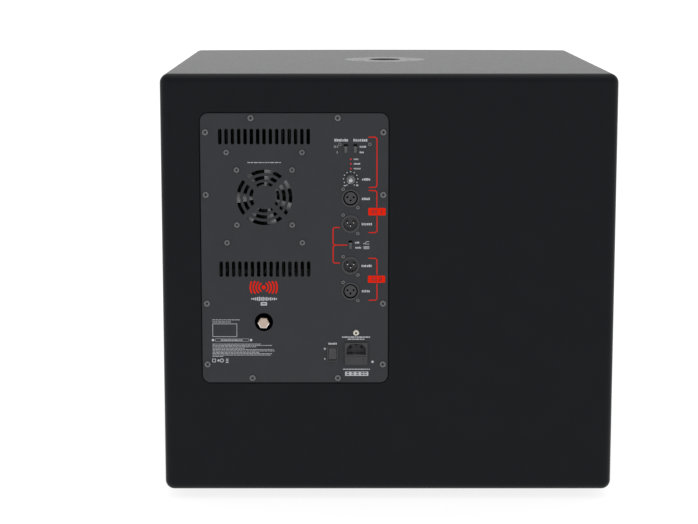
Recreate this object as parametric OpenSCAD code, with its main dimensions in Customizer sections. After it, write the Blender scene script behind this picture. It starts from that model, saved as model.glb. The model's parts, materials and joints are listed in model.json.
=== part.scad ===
// Powered stage subwoofer: bowed-front cabinet, one large driver and a
// rear amplifier panel. Millimetres, +Z up, grille towards -Y, amplifier
// panel towards +Y. The origin is the centre of the footprint, at the
// underside of the feet.

/* [Cabinet] */
// Width of the cabinet
cab_w = 590; // [575:1:640]
// Depth of the cabinet at its side walls
cab_d = 590; // [560:1:680]
// Height of the cabinet above its feet
cab_h = 550; // [540:1:600]
// How far the front edge bows out at the middle
bow = 20; // [12:1:26]
// Radius of the rounded outer edges
edge_r = 12; // [8:1:13]
// Thickness of the outer boards
board_t = 15; // [15:1:18]
// Thickness of the front baffle
baffle_t = 18; // [18:1:22]
// Set-back of the baffle from the side walls' front edge
baffle_inset = 30; // [28:1:40]
// Leg length of each triangular corner port
port_leg = 130; // [90:5:140]
// Length of the port ducts behind the baffle
port_len = 263; // [150:1:265]

/* [Feet] */
// Height of the rubber feet
foot_h = 12; // [8:1:14]
// Distance of each foot's centre from the cabinet's sides
foot_inset = 70; // [60:1:100]

/* [Driver] */
// Outer diameter of the driver's frame
driver_d = 462; // [456:1:466]
// Bolt circle of the driver
driver_pcd = 440; // [436:1:444]
// Number of driver bolts
driver_bolts = 8; // [4:2:12]

/* [Amplifier panel] */
// Width of the panel
panel_w = 242; // [240:0.5:246]
// Height of the panel
panel_h = 353; // [350:0.5:356]
// Corner radius of the panel
panel_r = 10; // [6:1:14]
// Thickness of the panel's sheet
panel_t = 2; // [1.5:0.5:2.5]
// Panel centre, to the left of the cabinet's centre as seen from behind
panel_left = 122; // [118:1:130]
// Panel centre above the cabinet's underside
panel_up = 323; // [300:1:335]
// Depth of the closed box behind the panel
amp_depth = 120; // [115:1:135]

/* [Fan] */
// Size of the square fan frame
fan_size = 80; // [80:1:84]
// Distance between the fan's screws
fan_pitch = 71.5; // [71:0.5:72]
// Number of fan blades
fan_blades = 7; // [5:1:9]

/* [Pole socket] */
// Bore of the pole socket
pole_bore = 36; // [35.5:0.5:38]
// Depth of the pole socket's bore
pole_depth = 80; // [60:5:90]
// Diameter of the socket's flange
pole_flange_d = 118; // [110:1:130]
// Socket centre ahead of the cabinet's rear face
pole_ahead = 329; // [300:1:340]

/* [Side handles] */
// Length of each handle's pocket
pocket_w = 190; // [160:5:200]
// Height of each handle's pocket
pocket_h = 90; // [80:5:95]
// Depth of each handle's pocket
pocket_d = 59; // [50:1:60]

/* [Travel] */
// Travel of the slide switches
slide_travel = 2; // [1.5:0.5:3]
// Tilt of the power rocker away from level
rocker_tilt = 11; // [8:1:12]

/* [Hidden] */
$fn = 96;

// Overall layout along Y: the knob's tip and the bowed front are equally far from the origin
knob_out = 12;
total_d = knob_out + cab_d + bow;
rear_y = total_d / 2 - knob_out;
tip_y = -total_d / 2;
side_front_y = tip_y + bow;
bottom_z = foot_h;
top_z = foot_h + cab_h;
mid_z = foot_h + cab_h / 2;
inner_x = cab_w / 2 - board_t;
inner_bottom = bottom_z + board_t;
inner_top = top_z - board_t;
far = 2000;

// The bowed front is an arc through the side walls' front edges
bow_r = (cab_w * cab_w / 4 + bow * bow) / (2 * bow);
bow_y = tip_y + bow_r;

// Baffle, grille and ports
baffle_y = side_front_y + baffle_inset;
grille_t = 1.5;
grille_set_back = 3;
grille_gap = 0.5;
foam_t = 4;
grille_back_r = bow_r - grille_set_back - grille_t;
foam_back_r = grille_back_r - foam_t;
port_board_t = 12;
rail_w = 18;
rail_len = 240;
block_w = 120;
brace_y = 135;
brace_t = 15;
brace_w = 60;

// Fastener clearances
fit_gap = 0.1;
wood_r = 2;
wood_head_r = 4.4;
wood_head_h = 2.6;
m4_r = 2;
m6_r = 3;
m8_r = 4;

// Amplifier panel features, measured from the panel's centre:
// right as seen from behind, then up
panel_gap = 1.3;
gasket_t = 2;
cut_w = 217;
cut_h = 328;
cover_t = 1.2;
edge_screws = concat(
  [for (s = [-1, 1], t = [-1, 1]) [s * 55.9, t * 170.5]],
  [for (s = [-1, 1], t = [-152.2, -71.4, 71.3, 152.2]) [s * 114.6, t]]
);
fan_at = [-38.85, 67.8];
sink_screws = [for (s = [-1, 1], t = [-1, 1]) fan_at + [s * 48.75, t * 58.75 - 0.25]];
fan_screws = [for (s = [-1, 1], t = [-1, 1]) fan_at + [s, t] * fan_pitch / 2];
vent_rows = [146.6, -26];
vent_count = 15;
vent_pitch = 8.12;
vent_size = [4.6, 20.4];
input_at = [[72.4, 66.8], [72.4, -55.2]];
output_at = [[72.4, 33.1], [72.4, -21.5]];
xlr_at = concat(input_at, output_at);
xlr_screws = [for (p = xlr_at, s = [-1, 1]) p + s * [-9.5, 12]];
board_screws = [[58.6, 136.8], [97.2, 136.8]];
polarity_at = [66.5, 131.1];
contour_at = [78.6, 131.1];
link_at = [72.4, 5.8];
switch_at = [polarity_at, contour_at, link_at];
led_at = [for (i = [0:2]) [72.7, 105.3 + i * 6.1]];
led_r = 1.1;
level_at = [72.7, 91.3];
ground_at = [79.7, -110.1];
iec_at = [79.8, -138];
power_at = [48.9, -138.3];
coil_at = [-41.1, -97.85];
recess_at = coil_at + [0.45, 1.75];
pcb_w = -22;
recess_r = 12.05;
recess_d = 6;

// IEC inlet and its drawer
iec_size = [29.8, 29.6];
iec_body = [27, 27.6];
iec_deep = 26;
plug_size = [25.2, 14.9];
plug_mid = 5.65;
plug_deep = 17;
drawer_size = [24.9, 8.8];
drawer_mid = -8.6;
drawer_deep = 23;
drawer_gap = 0.35;
// Height of the drawer's full-width front and the thickness of the flange behind it
front_h = 11.3;
front_back = 0.7;
blade_at = [[0, 8.8], [-7, 4.8], [7, 4.8]];

// Power rocker
rocker_w = 10.6;
rocker_r = 8.4;
rocker_pivot = -3;
rocker_pin_r = 1.2;

// Handles
handle_y = 10;
handle_z = mid_z + 3;
handle_wall = 3;
handle_lip = 15;
handle_screws = [for (s = [-1, 1], t = [-1, 1]) [s * (pocket_w / 2 + 8), t * (pocket_h / 2 - 12)]];

// Pole socket
pole_y = rear_y - pole_ahead;
flange_t = 2.5;
socket_r = pole_bore / 2 + 5;
m20_r = 10;
m20_len = 18;
pole_screws = [for (a = [45:90:315]) 48 * [cos(a), sin(a)]];

// Driver section, in radius and height above the baffle's face
flange_r = driver_d / 2;
cutout_r = flange_r - 19;
frame_low = 2;
frame_top = 8;
coil_r = 50;
plate_w = -118;
magnet_w = -128;
back_w = -150;
motor_end = -162;

// ---------- placing ----------

// Draw on the rear face: x right as seen from behind, y up, z outwards
module on_rear(u = 0, v = 0) translate([-u, rear_y, v]) rotate([90, 0, 180]) children();

// Draw on the amplifier panel, measured from its centre
module on_panel(p = [0, 0]) on_rear(p[0] - panel_left, p[1] + panel_up + bottom_z) children();

// Draw on the baffle: x right as seen from the front, y up, z outwards
module on_baffle() translate([0, baffle_y, mid_z]) rotate([90, 0, 0]) children();

// Draw on the right side wall: x backwards, y up, z outwards
module on_right_side() translate([cab_w / 2, handle_y, handle_z]) rotate([90, 0, 90]) children();

// Both side walls, or the four feet or corners
module both_sides() for (s = [0, 1]) mirror([s, 0, 0]) children();

// ---------- shared shapes ----------

module rounded_rect(a, b, r) {
  square([a - 2 * r, b], center = true);
  square([a, b - 2 * r], center = true);
  for (s = [-1, 1], t = [-1, 1]) translate([s * (a / 2 - r), t * (b / 2 - r)]) circle(r = r);
}

// A rounded plate from height z0 up to z1
module plate(a, b, r, z0, z1) translate([0, 0, z0]) linear_extrude(z1 - z0) rounded_rect(a, b, r);

// A box centred on X and Y, from height z0 up to z1
module slab(a, b, z0, z1) translate([-a / 2, -b / 2, z0]) cube([a, b, z1 - z0]);

// A rod from height z0 up to z1
module rod(r, z0, z1) translate([0, 0, z0]) cylinder(r = r, h = z1 - z0);

module tube(r_out, r_in, z0, z1) difference() {
  rod(r_out, z0, z1);
  rod(r_in, z0 - 1, z1 + 1);
}

// Cross recess cut into a screw head whose top is at height z
module cross_recess(size, z) for (a = [0, 90]) rotate(a) slab(size, size / 4, z - 1, z + 1);

// Pan-head screw seated at height z, pointing down
module pan_screw(head_r, head_h, shank_r, len, z = 0) difference() {
  union() {
    rod(head_r, z, z + head_h);
    rod(shank_r, z - len, z + head_h / 2);
  }
  cross_recess(1.2 * head_r, z + head_h);
}

// Countersunk wood screw, flush with height 0, and the hole that it needs
module wood_screw(len) difference() {
  union() {
    translate([0, 0, -wood_head_h]) cylinder(h = wood_head_h, r1 = wood_r, r2 = wood_head_r);
    rod(wood_r, -len, -wood_head_h / 2);
  }
  cross_recess(1.1 * wood_head_r, 0);
}
module wood_hole(len) {
  translate([0, 0, -wood_head_h - fit_gap])
    cylinder(h = wood_head_h + 2 * fit_gap, r1 = wood_r + fit_gap, r2 = wood_head_r + 2 * fit_gap);
  rod(wood_r + fit_gap, -len - fit_gap, 0);
}

// ---------- cabinet ----------

// Outer form: a box with rounded edges and a front that is one shallow arc
module cabinet_form() {
  corner_y = bow_y - sqrt(pow(bow_r - edge_r, 2) - pow(cab_w / 2 - edge_r, 2));
  tangent_x = (cab_w / 2 - edge_r) * bow_r / (bow_r - edge_r);
  plan_d = rear_y - corner_y + edge_r;
  intersection() {
    translate([0, 0, mid_z]) rotate([90, 0, 0]) linear_extrude(far, center = true)
      rounded_rect(cab_w, cab_h, edge_r);
    translate([0, rear_y - cab_d, mid_z]) rotate([90, 0, 90]) linear_extrude(far, center = true)
      rounded_rect(2 * cab_d, cab_h, edge_r);
    linear_extrude(far, center = true) {
      translate([0, rear_y - plan_d / 2]) rounded_rect(cab_w, plan_d, edge_r);
      translate([-tangent_x, corner_y - cab_d]) square([2 * tangent_x, cab_d]);
    }
    translate([0, bow_y, mid_z]) rotate_extrude($fn = 720) {
      translate([0, -cab_h / 2]) square([bow_r - edge_r, cab_h]);
      translate([0, -cab_h / 2 + edge_r]) square([bow_r, cab_h - 2 * edge_r]);
      for (s = [-1, 1]) translate([bow_r - edge_r, s * (cab_h / 2 - edge_r)]) circle(r = edge_r);
    }
  }
}

// The part of the form between two heights
module form_slice(z0, z1) intersection() {
  cabinet_form();
  slab(far, far, z0, z1);
}

module foot_places() for (s = [-1, 1], y = [side_front_y + foot_inset, rear_y - foot_inset])
  translate([s * (cab_w / 2 - foot_inset), y, 0]) children();

module cabinet_top() color([0.12, 0.125, 0.14]) difference() {
  form_slice(inner_top, top_z);
  translate([0, pole_y, top_z]) {
    rod(socket_r + 0.5, -board_t - 1, 1);
    rod(pole_flange_d / 2 + 0.5, -flange_t, 1);
    for (p = pole_screws) translate(p) wood_hole(12);
  }
}

module cabinet_bottom() color([0.12, 0.125, 0.14]) difference() {
  form_slice(bottom_z, inner_bottom);
  foot_places() rod(wood_r + fit_gap, bottom_z - 1, bottom_z + 12);
}

// Right wall with the pocket's cut-out; the left wall is its mirror image
module side_wall() difference() {
  intersection() {
    cabinet_form();
    translate([inner_x, -far / 2, inner_bottom]) cube([board_t, far, inner_top - inner_bottom]);
  }
  on_right_side() {
    plate(pocket_w + 2 * handle_wall + 1, pocket_h + 2 * handle_wall + 1, 18.5, -board_t - 1, 1);
    plate(pocket_w + 2 * handle_lip + 1, pocket_h + 2 * handle_lip + 1, 22.5, -handle_wall, 1);
    for (p = handle_screws) translate(p) wood_hole(13);
  }
}
module cabinet_left() color([0.12, 0.125, 0.14]) mirror([1, 0, 0]) side_wall();
module cabinet_right() color([0.12, 0.125, 0.14]) side_wall();

module cabinet_rear() color([0.12, 0.125, 0.14]) difference() {
  translate([-inner_x, rear_y - board_t, inner_bottom])
    cube([2 * inner_x, board_t, inner_top - inner_bottom]);
  on_panel() {
    plate(panel_w + 2 * panel_gap, panel_h + 2 * panel_gap, panel_r + panel_gap, -panel_t - gasket_t, 1);
    plate(cut_w, cut_h, 4, -board_t - 1, 1);
    for (p = edge_screws) translate(p) rod(m4_r + fit_gap, -14, 0);
  }
}

// Port cross-section in one corner, seen along Y: the leg runs along both walls
module port_corner(leg) polygon([
  [inner_x, inner_bottom], [inner_x - leg, inner_bottom], [inner_x, inner_bottom + leg]
]);
module four_corners() for (s = [0, 1], t = [0, 1]) mirror([s, 0, 0])
  translate([0, 0, mid_z]) mirror([0, 0, t]) translate([0, 0, -mid_z]) children();
// Stand a shape drawn in X and Z upright, from y0 back to y1
module upright(y0, y1) translate([0, y1, 0]) rotate([90, 0, 0]) linear_extrude(y1 - y0) children();

module front_baffle() color([0.1, 0.1, 0.11]) difference() {
  translate([-inner_x, baffle_y, inner_bottom]) cube([2 * inner_x, baffle_t, inner_top - inner_bottom]);
  four_corners() upright(baffle_y - 1, baffle_y + baffle_t + 1) port_corner(port_leg);
  on_baffle() {
    rod(cutout_r, -baffle_t - 1, 1);
    for (i = [1:driver_bolts]) rotate(360 * (i + 0.5) / driver_bolts) translate([driver_pcd / 2, 0])
      rod(m6_r + fit_gap, -baffle_t - 1, 1);
  }
}

module port_boards() color([0.1, 0.1, 0.11]) four_corners()
  upright(baffle_y + baffle_t, baffle_y + baffle_t + port_len) difference() {
    port_corner(port_leg + port_board_t * sqrt(2));
    port_corner(port_leg);
  }

module cross_brace() color([0.72, 0.58, 0.4]) {
  translate([-brace_w / 2, brace_y, inner_bottom]) cube([brace_w, brace_t, inner_top - inner_bottom]);
  translate([-inner_x, brace_y, mid_z - brace_w / 2]) cube([2 * inner_x, brace_t, brace_w]);
}

// Depth at which the arc of radius r lies x away from the middle
function arc_y(r, x) = bow_y - sqrt(r * r - x * x);
side_rail_x = [inner_x - rail_w, inner_x];
grille_screw_places = concat(
  [for (s = [-1, 1], t = [-1, 1]) [s * (inner_x - rail_w / 2), mid_z + t * (rail_len / 2 - 20)]],
  [for (s = [-1, 1], z = [inner_bottom + rail_w / 2, inner_top - rail_w / 2]) [s * block_w / 3, z]]
);

module grille_rails() color([0.1, 0.1, 0.11]) difference() {
  union() {
    both_sides() translate([0, 0, mid_z - rail_len / 2]) linear_extrude(rail_len) polygon([
      [side_rail_x[0], baffle_y], [side_rail_x[0], arc_y(grille_back_r, side_rail_x[0])],
      [side_rail_x[1], arc_y(grille_back_r, side_rail_x[1])], [side_rail_x[1], baffle_y]
    ]);
    for (z = [inner_bottom, inner_top - rail_w]) translate([-block_w / 2, 0, z]) {
      front = arc_y(foam_back_r, block_w / 2);
      translate([0, front, 0]) cube([block_w, baffle_y - front, rail_w]);
    }
  }
  for (p = grille_screw_places) translate([p[0], baffle_y, p[1]]) rotate([90, 0, 0])
    rod(wood_r + fit_gap, 2, 60);
}

// Sheet between two arcs, x_half to each side and from z0 up to z1
module bowed_sheet(r_out, r_in, x_half, z0, z1) difference() {
  intersection() {
    translate([0, bow_y, z0]) difference() {
      cylinder(r = r_out, h = z1 - z0, $fn = 720);
      translate([0, 0, -1]) cylinder(r = r_in, h = z1 - z0 + 2, $fn = 720);
    }
    translate([-x_half, tip_y, z0 - 1]) cube([2 * x_half, 60, z1 - z0 + 2]);
  }
  for (p = grille_screw_places) translate([p[0], 0, p[1]]) rotate([90, 0, 0])
    rod(wood_r + fit_gap, 200, -tip_y + 1);
}
module grille_panel() color([0.08, 0.08, 0.09]) bowed_sheet(
  grille_back_r + grille_t, grille_back_r, inner_x - grille_gap,
  inner_bottom + grille_gap, inner_top - grille_gap
);
module grille_foam() color([0.05, 0.05, 0.055]) bowed_sheet(
  grille_back_r, foam_back_r, side_rail_x[0] - grille_gap, inner_bottom + 3, inner_top - 3
);
module grille_screws() color([0.15, 0.15, 0.16]) for (p = grille_screw_places) {
  head_r = 5;
  seat = -arc_y(grille_back_r + grille_t, abs(p[0]) - head_r) + fit_gap;
  translate([p[0], 0, p[1]]) rotate([90, 0, 0]) pan_screw(head_r, 2, wood_r, 24, seat);
}

module wadding() color([0.75, 0.75, 0.72]) {
  translate([-inner_x, rear_y - board_t - 22, inner_bottom + 8])
    cube([inner_x + 5, 22, inner_top - inner_bottom - 16]);
  translate([-inner_x, brace_y + brace_t + 5, inner_bottom + 8])
    cube([22, rear_y - board_t - 24 - brace_y - brace_t - 5, inner_top - inner_bottom - 16]);
}

// ---------- driver ----------

// Closed outline turned about the driver's axis
module turned(outline) rotate_extrude() polygon(outline);

module driver_bolt_places() for (i = [1:driver_bolts])
  rotate(360 * (i + 0.5) / driver_bolts) translate([driver_pcd / 2, 0]) children();

module woofer_gasket() color([0.1, 0.1, 0.1]) on_baffle() difference() {
  tube(flange_r, cutout_r, 0, frame_low);
  driver_bolt_places() rod(m6_r + fit_gap, -1, frame_low + 1);
}

// Cast frame: bolt flange, bucket, eight legs, spider ledge and motor plate
module woofer_basket() color([0.2, 0.2, 0.21]) on_baffle() difference() {
  union() {
    turned([
      [flange_r, frame_top], [flange_r, frame_low], [209, frame_low], [209, -18],
      [98, -108], [98, plate_w], [56, plate_w], [56, -113], [84, -113], [84, -104],
      [96, -104], [204, -16], [204, frame_top]
    ]);
    rotate(22.5) translate([150, 0]) slab(16, 24, -84, -60);
  }
  for (i = [0:7]) rotate(45 * i) translate([0, 0, -102]) linear_extrude(80)
    polygon([[112, -28], [112, 28], [190, 58], [190, -58]]);
  driver_bolt_places() rod(m6_r + fit_gap, -20, frame_top + 1);
}

// Two concentric half rolls between a lip on the cone and a lip on the frame
module woofer_surround() color([0.07, 0.07, 0.075]) on_baffle() rotate_extrude()
  translate([0, frame_top]) {
    translate([181, 0]) square([5.5, 1]);
    translate([205.5, 0]) square([7.5, 1]);
    for (r = [191, 201]) translate([r, 0]) intersection() {
      difference() {
        circle(r = 5.5);
        circle(r = 4.5);
      }
      translate([-6, 0]) square([12, 6]);
    }
  }

module woofer_cone() color([0.09, 0.09, 0.095]) on_baffle() turned([
  [coil_r + 0.85, -88], [coil_r + 0.85, -85.6], [179, 8], [186, 8], [186, 6], [180, 6]
]);

module woofer_dust_cap() color([0.08, 0.08, 0.085]) on_baffle() rotate_extrude() {
  cap_r = 66;
  rise = 20;
  ball_r = (cap_r * cap_r + rise * rise) / (2 * rise);
  intersection() {
    translate([0, -74.5 + rise - ball_r]) difference() {
      circle(r = ball_r, $fn = 360);
      circle(r = ball_r - 1, $fn = 360);
    }
    translate([0, -74.5]) square([cap_r, rise + 1]);
  }
}

module woofer_spider() color([0.75, 0.6, 0.3]) on_baffle() {
  r0 = coil_r + 0.9;
  r1 = 92;
  steps = 18;
  wave = [for (i = [0:steps]) [r0 + (r1 - r0) * i / steps, i >= steps - 2 ? -104 : -104 + 2.5 * abs(sin(90 * i))]];
  turned(concat(wave, [for (i = [steps:-1:0]) wave[i] + [0, 0.8]]));
}

module woofer_voice_coil() color([0.72, 0.45, 0.2]) on_baffle() {
  tube(coil_r + 0.8, coil_r, -138, -82);
  tube(coil_r + 2.4, coil_r + 0.8, -138, -116);
}

module woofer_motor_steel() color([0.5, 0.5, 0.52]) on_baffle() {
  tube(95, 54, magnet_w, plate_w);
  difference() {
    union() {
      rod(98, motor_end, back_w);
      rod(coil_r - 1.4, back_w - 1, plate_w);
    }
    rod(15, motor_end - 1, plate_w + 1);
  }
}

module woofer_magnet() color([0.16, 0.16, 0.17]) on_baffle() tube(105, 60, back_w, magnet_w);

module woofer_bolts() color([0.12, 0.12, 0.13]) on_baffle() driver_bolt_places() difference() {
  union() {
    rod(5, frame_top, frame_top + 6);
    rod(m6_r, -20, frame_top + 1);
  }
  translate([0, 0, frame_top + 3]) cylinder(r = 2.9, h = 4, $fn = 6);
}

// ---------- amplifier panel ----------

module vent_slots() for (v = vent_rows, i = [0:vent_count - 1])
  translate([fan_at[0] + (i - (vent_count - 1) / 2) * vent_pitch, v])
    rounded_rect(vent_size[0], vent_size[1], vent_size[0] / 2 - 0.01);

// Three rings of four arc slots, parted by diagonal bars
module fan_slots() translate(fan_at) difference() {
  for (r = [[15.2, 19.8], [23.3, 27.9], [31.5, 36.1]]) difference() {
    circle(r = r[1]);
    circle(r = r[0]);
  }
  for (a = [45, 135]) rotate(a) square([fan_size, 6.8], center = true);
}

module amp_panel() color([0.235, 0.24, 0.25]) on_panel() difference() {
  union() {
    plate(panel_w, panel_h, panel_r, -panel_t, 0);
    translate(recess_at) rod(recess_r + 2, -recess_d - 2, -panel_t / 2);
  }
  translate([0, 0, -panel_t - 1]) linear_extrude(panel_t + 2) {
    vent_slots();
    fan_slots();
    for (p = concat(edge_screws, sink_screws, fan_screws, [ground_at])) translate(p)
      circle(r = m4_r + fit_gap);
    for (p = concat(xlr_screws, board_screws)) translate(p) circle(r = 1.5 + fit_gap);
    for (p = xlr_at) translate(p) circle(r = 11.95);
    for (p = led_at) translate(p) circle(r = led_r + fit_gap);
    for (p = switch_at) translate(p) square([5, 11.6], center = true);
    translate(level_at) circle(r = 3.7);
    translate(iec_at) square(iec_body + [0.4, 0.4], center = true);
    translate(power_at) square([13.4, 19], center = true);
  }
  translate(recess_at) rod(recess_r, -recess_d, 1);
  translate(coil_at) rod(m8_r + fit_gap, -recess_d - 3, 1);
}

module amp_gasket() color([0.06, 0.06, 0.06]) on_panel() difference() {
  plate(panel_w, panel_h, panel_r, -panel_t - gasket_t, -panel_t);
  plate(cut_w, cut_h, 4, -panel_t - gasket_t - 1, 0);
  for (p = edge_screws) translate(p) rod(m4_r + fit_gap, -10, 0);
}

module amp_panel_screws() color([0.42, 0.43, 0.45]) on_panel()
  for (p = edge_screws) translate(p) pan_screw(4.2, 1.9, m4_r, 13.5);

// Heatsink and fan screws
module module_screws() color([0.42, 0.43, 0.45]) on_panel() {
  for (p = sink_screws) translate(p) pan_screw(3.9, 1.9, m4_r, 10);
  for (p = fan_screws) translate(p) pan_screw(3.9, 1.9, m4_r, 28);
}

module connector_screws() color([0.36, 0.37, 0.39]) on_panel()
  for (p = concat(xlr_screws, board_screws)) translate(p) pan_screw(2.6, 1.3, 1.5, 8);

module ground_screw() color([0.85, 0.72, 0.45]) on_panel(ground_at) {
  pan_screw(3.8, 2.6, m4_r, 10, 0.8);
  tube(4, m4_r + fit_gap, 0, 0.8);
}

module amp_back_cover() color([0.55, 0.56, 0.58]) on_panel() difference() {
  plate(cut_w - 2, cut_h - 2, 3.5, -panel_t - amp_depth, -panel_t);
  plate(cut_w - 2 - 2 * cover_t, cut_h - 2 - 2 * cover_t, 3, -panel_t - amp_depth + cover_t, 0);
}

// Fins run upwards behind the fan, from the lower row of vents to the upper
module heatsink() color([0.6, 0.61, 0.63]) on_panel() {
  fins = 14;
  size = [120, 194];
  base = [-70, -62];
  fin_top = -29;
  fin_t = 1.8;
  difference() {
    union() {
      translate([fan_at[0], 61, 0]) {
        slab(size[0], size[1], base[0], base[1]);
        for (i = [0:fins - 1]) translate([(size[0] - fin_t) * (i / (fins - 1) - 0.5), 0, 0])
          slab(fin_t, size[1], base[1] - 1, fin_top);
      }
      for (p = sink_screws) translate(p) {
        rod(5, base[1] - 1, -panel_t);
        rod(3, base[0] - 6, base[0] + 1);
      }
    }
    for (p = sink_screws) translate(p) rod(m4_r + fit_gap, -14, 0);
  }
}

module fan_frame() color([0.07, 0.07, 0.075]) on_panel(fan_at) {
  top = -panel_t;
  low = top - 25;
  difference() {
    plate(fan_size, fan_size, 5, low, top);
    rod(38, low - 1, top + 1);
    for (s = [-1, 1], t = [-1, 1]) translate([s, t] * fan_pitch / 2) rod(m4_r + fit_gap, low - 1, top + 1);
  }
  difference() {
    union() {
      rod(16, low, low + 4);
      for (a = [0:90:270]) rotate(a) translate([15, -2, low]) cube([24, 4, 3]);
    }
    rod(1.55, low - 1, low + 5);
  }
}

module fan_impeller() color([0.2, 0.2, 0.21]) on_panel(fan_at) {
  hub_r = 15.5;
  intersection() {
    rod(37, -18.5, -4);
    for (i = [1:fan_blades]) rotate(360 * i / fan_blades) translate([hub_r - 2, 0, -11.5])
      rotate([38, 0, 0]) translate([0, -1, -12]) cube([30, 2, 24]);
  }
  rod(hub_r, -19.5, -3.5);
  rod(1.5, -26, -19);
}

// Power board with its capacitors, output filter coils and mains filter
module amp_board() color([0.08, 0.3, 0.16]) on_panel() {
  back = -77.6;
  difference() {
    translate([0, 61, 0]) slab(196, 194, back, -76);
    for (p = sink_screws) translate(p) rod(1.6, back - 1, -75);
  }
  for (u = [-78, -48, -18], v = [20, 52]) translate([u, v]) rod(12.5, back - 34, back);
  for (u = [-70, -30]) translate([u, 105]) tube(16, 7, back - 16, back);
  translate([40, 120]) slab(36, 30, back - 22, back);
  translate([45, 30]) slab(60, 12, back - 26, back);
}

module transformer() color([0.72, 0.55, 0.2]) on_panel(coil_at) translate([0, 0, -panel_t - 0.1 - 26])
  rotate_extrude() translate([38, 0]) rounded_rect(40, 52, 9);

module transformer_bolt() color([0.82, 0.79, 0.74]) on_panel(coil_at) {
  seat = -recess_d;
  dish = -panel_t - 52.3;
  rod(m8_r, -66, seat + 1);
  rotate(-3) translate([0, 0, seat]) difference() {
    cylinder(d = 13.5 / cos(30), h = 5.3, $fn = 6);
    for (a = [30:60:330]) rotate(a) translate([5.5, 0, 5.3]) rotate([0, 31, 0])
      translate([-1, -6, 0]) cube([5, 12, 3]);
  }
  tube(35, m8_r + fit_gap, dish - 2, dish);
  difference() {
    translate([0, 0, dish - 8.6]) cylinder(d = 13 / cos(30), h = 6.5, $fn = 6);
    rod(m8_r + fit_gap, dish - 9, dish);
  }
}

module control_board() color([0.08, 0.28, 0.15]) on_panel() difference() {
  union() {
    translate([77, 38, 0]) slab(54, 226, pcb_w - 1.6, pcb_w);
    for (p = board_screws) translate(p) rod(2.8, pcb_w - 1, -panel_t);
  }
  for (p = board_screws) translate(p) rod(1.5 + fit_gap, -12, 0);
}

// ---------- controls ----------

channel = [5, 11.6];
slider_size = [4.2, channel[1] - slide_travel - 0.4];
slider_low = -slide_travel / 2;

module switch_bodies() color([0.1, 0.1, 0.11]) on_panel() for (p = switch_at) translate(p) difference() {
  slab(10, 22, pcb_w, -panel_t);
  slab(channel[0], channel[1], -9, 0);
}

// Ribbed slider of a slide switch, resting at the lower end of its channel
module slider(p) color([0.45, 0.46, 0.48]) on_panel(p + [0, slider_low]) difference() {
  slab(slider_size[0], slider_size[1], -8.5, -0.4);
  for (v = [0.4, 1.9, 3.4]) translate([0, v]) slab(slider_size[0] + 1, 0.6, -1.1, 0);
}
module polarity_slider() slider(polarity_at);
module contour_slider() slider(contour_at);
module link_slider() slider(link_at);

module level_pot() color([0.3, 0.32, 0.34]) on_panel(level_at) difference() {
  union() {
    slab(17, 12, pcb_w, -panel_t - 0.4);
    rod(3.6, -6, -0.2);
  }
  rod(1.55, -16, 1);
}

// Knob with a fluted skirt, a tall cap, a pointer groove and its spindle;
// at rest the pointer is turned down to the left, at the lowest setting
module level_knob() color([0.3, 0.3, 0.32]) on_panel(level_at) difference() {
  union() {
    translate([0, 0, 0.5]) cylinder(r1 = 6, r2 = 5.3, h = 8);
    translate([0, 0, 8]) cylinder(r1 = 3, r2 = 2.65, h = knob_out - 8);
    rod(1.5, -14, 1);
  }
  for (i = [0:17]) rotate(20 * i) translate([6.15, 0, 0]) rod(0.55, 1.5, 9);
  rotate(150) translate([-0.4, 2.2, 7.9]) cube([0.8, 4, 1]);
}

module status_leds() color([0.9, 0.1, 0.1]) on_panel() for (p = led_at) translate(p) {
  rod(led_r, -3, 0.2);
  intersection() {
    translate([0, 0, -0.4]) sphere(r = led_r + 0.15);
    rod(led_r, 0, 2);
  }
  rod(2.2, pcb_w, -panel_t - 0.1);
}

// ---------- connectors ----------

// Shell of one three-pole connector with a rear flange and a 15 mm deep cavity
module xlr_shells() color([0.07, 0.07, 0.08]) on_panel() for (p = xlr_at) translate(p) difference() {
  union() {
    rod(11.75, pcb_w, 0.8);
    plate(26, 31, 3, -4.5, -panel_t - 0.1);
  }
  rod(9.6, -16, 2);
  for (s = [-1, 1]) translate(s * [-9.5, 12]) rod(1.5 + fit_gap, -9, 0);
}

xlr_pins = [[-4, 1.2], [4, 1.2], [0, -3]];
module xlr_input_inserts() color([0.2, 0.2, 0.22]) on_panel() for (p = input_at) translate(p) difference() {
  rod(7.9, -16, -0.6);
  for (q = xlr_pins) translate(q) rod(1.35, -14, 0);
}
module xlr_output_pins() color([0.85, 0.84, 0.8]) on_panel() for (p = output_at, q = xlr_pins)
  translate(p + q) {
    rod(1.2, -16, -3);
    translate([0, 0, -3]) cylinder(r1 = 1.2, r2 = 0.5, h = 0.8);
  }

// Plug opening of the mains inlet: a rectangle with its two upper corners cut off
module plug_outline() {
  x = plug_size[0] / 2;
  y = plug_size[1] / 2;
  cut = 5;
  translate([0, plug_mid]) polygon([[-x, -y], [x, -y], [x, y - cut], [x - cut, y], [cut - x, y], [-x, y - cut]]);
}
module iec_inlet() color([0.09, 0.09, 0.1]) on_panel(iec_at) difference() {
  union() {
    plate(iec_size[0], iec_size[1], 1.5, 0, 2.2);
    slab(iec_body[0], iec_body[1], -iec_deep, 1);
  }
  translate([0, 0, -plug_deep]) linear_extrude(plug_deep + 3) plug_outline();
  translate([0, front_h - iec_size[1]]) slab(iec_size[0] + 2, iec_size[1] + 0.4, front_back - 0.15, 3);
  translate([0, drawer_mid]) slab(
    drawer_size[0] + 2 * drawer_gap, drawer_size[1] + 2 * drawer_gap, -drawer_deep - 1, 3
  );
  for (p = blade_at) translate(p) slab(2.1, 4.1, -iec_deep - 1, 0);
}
module iec_pins() color([0.8, 0.78, 0.72]) on_panel(iec_at) for (p = blade_at) translate(p)
  slab(2, 4, -iec_deep - 7, -3);

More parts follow.
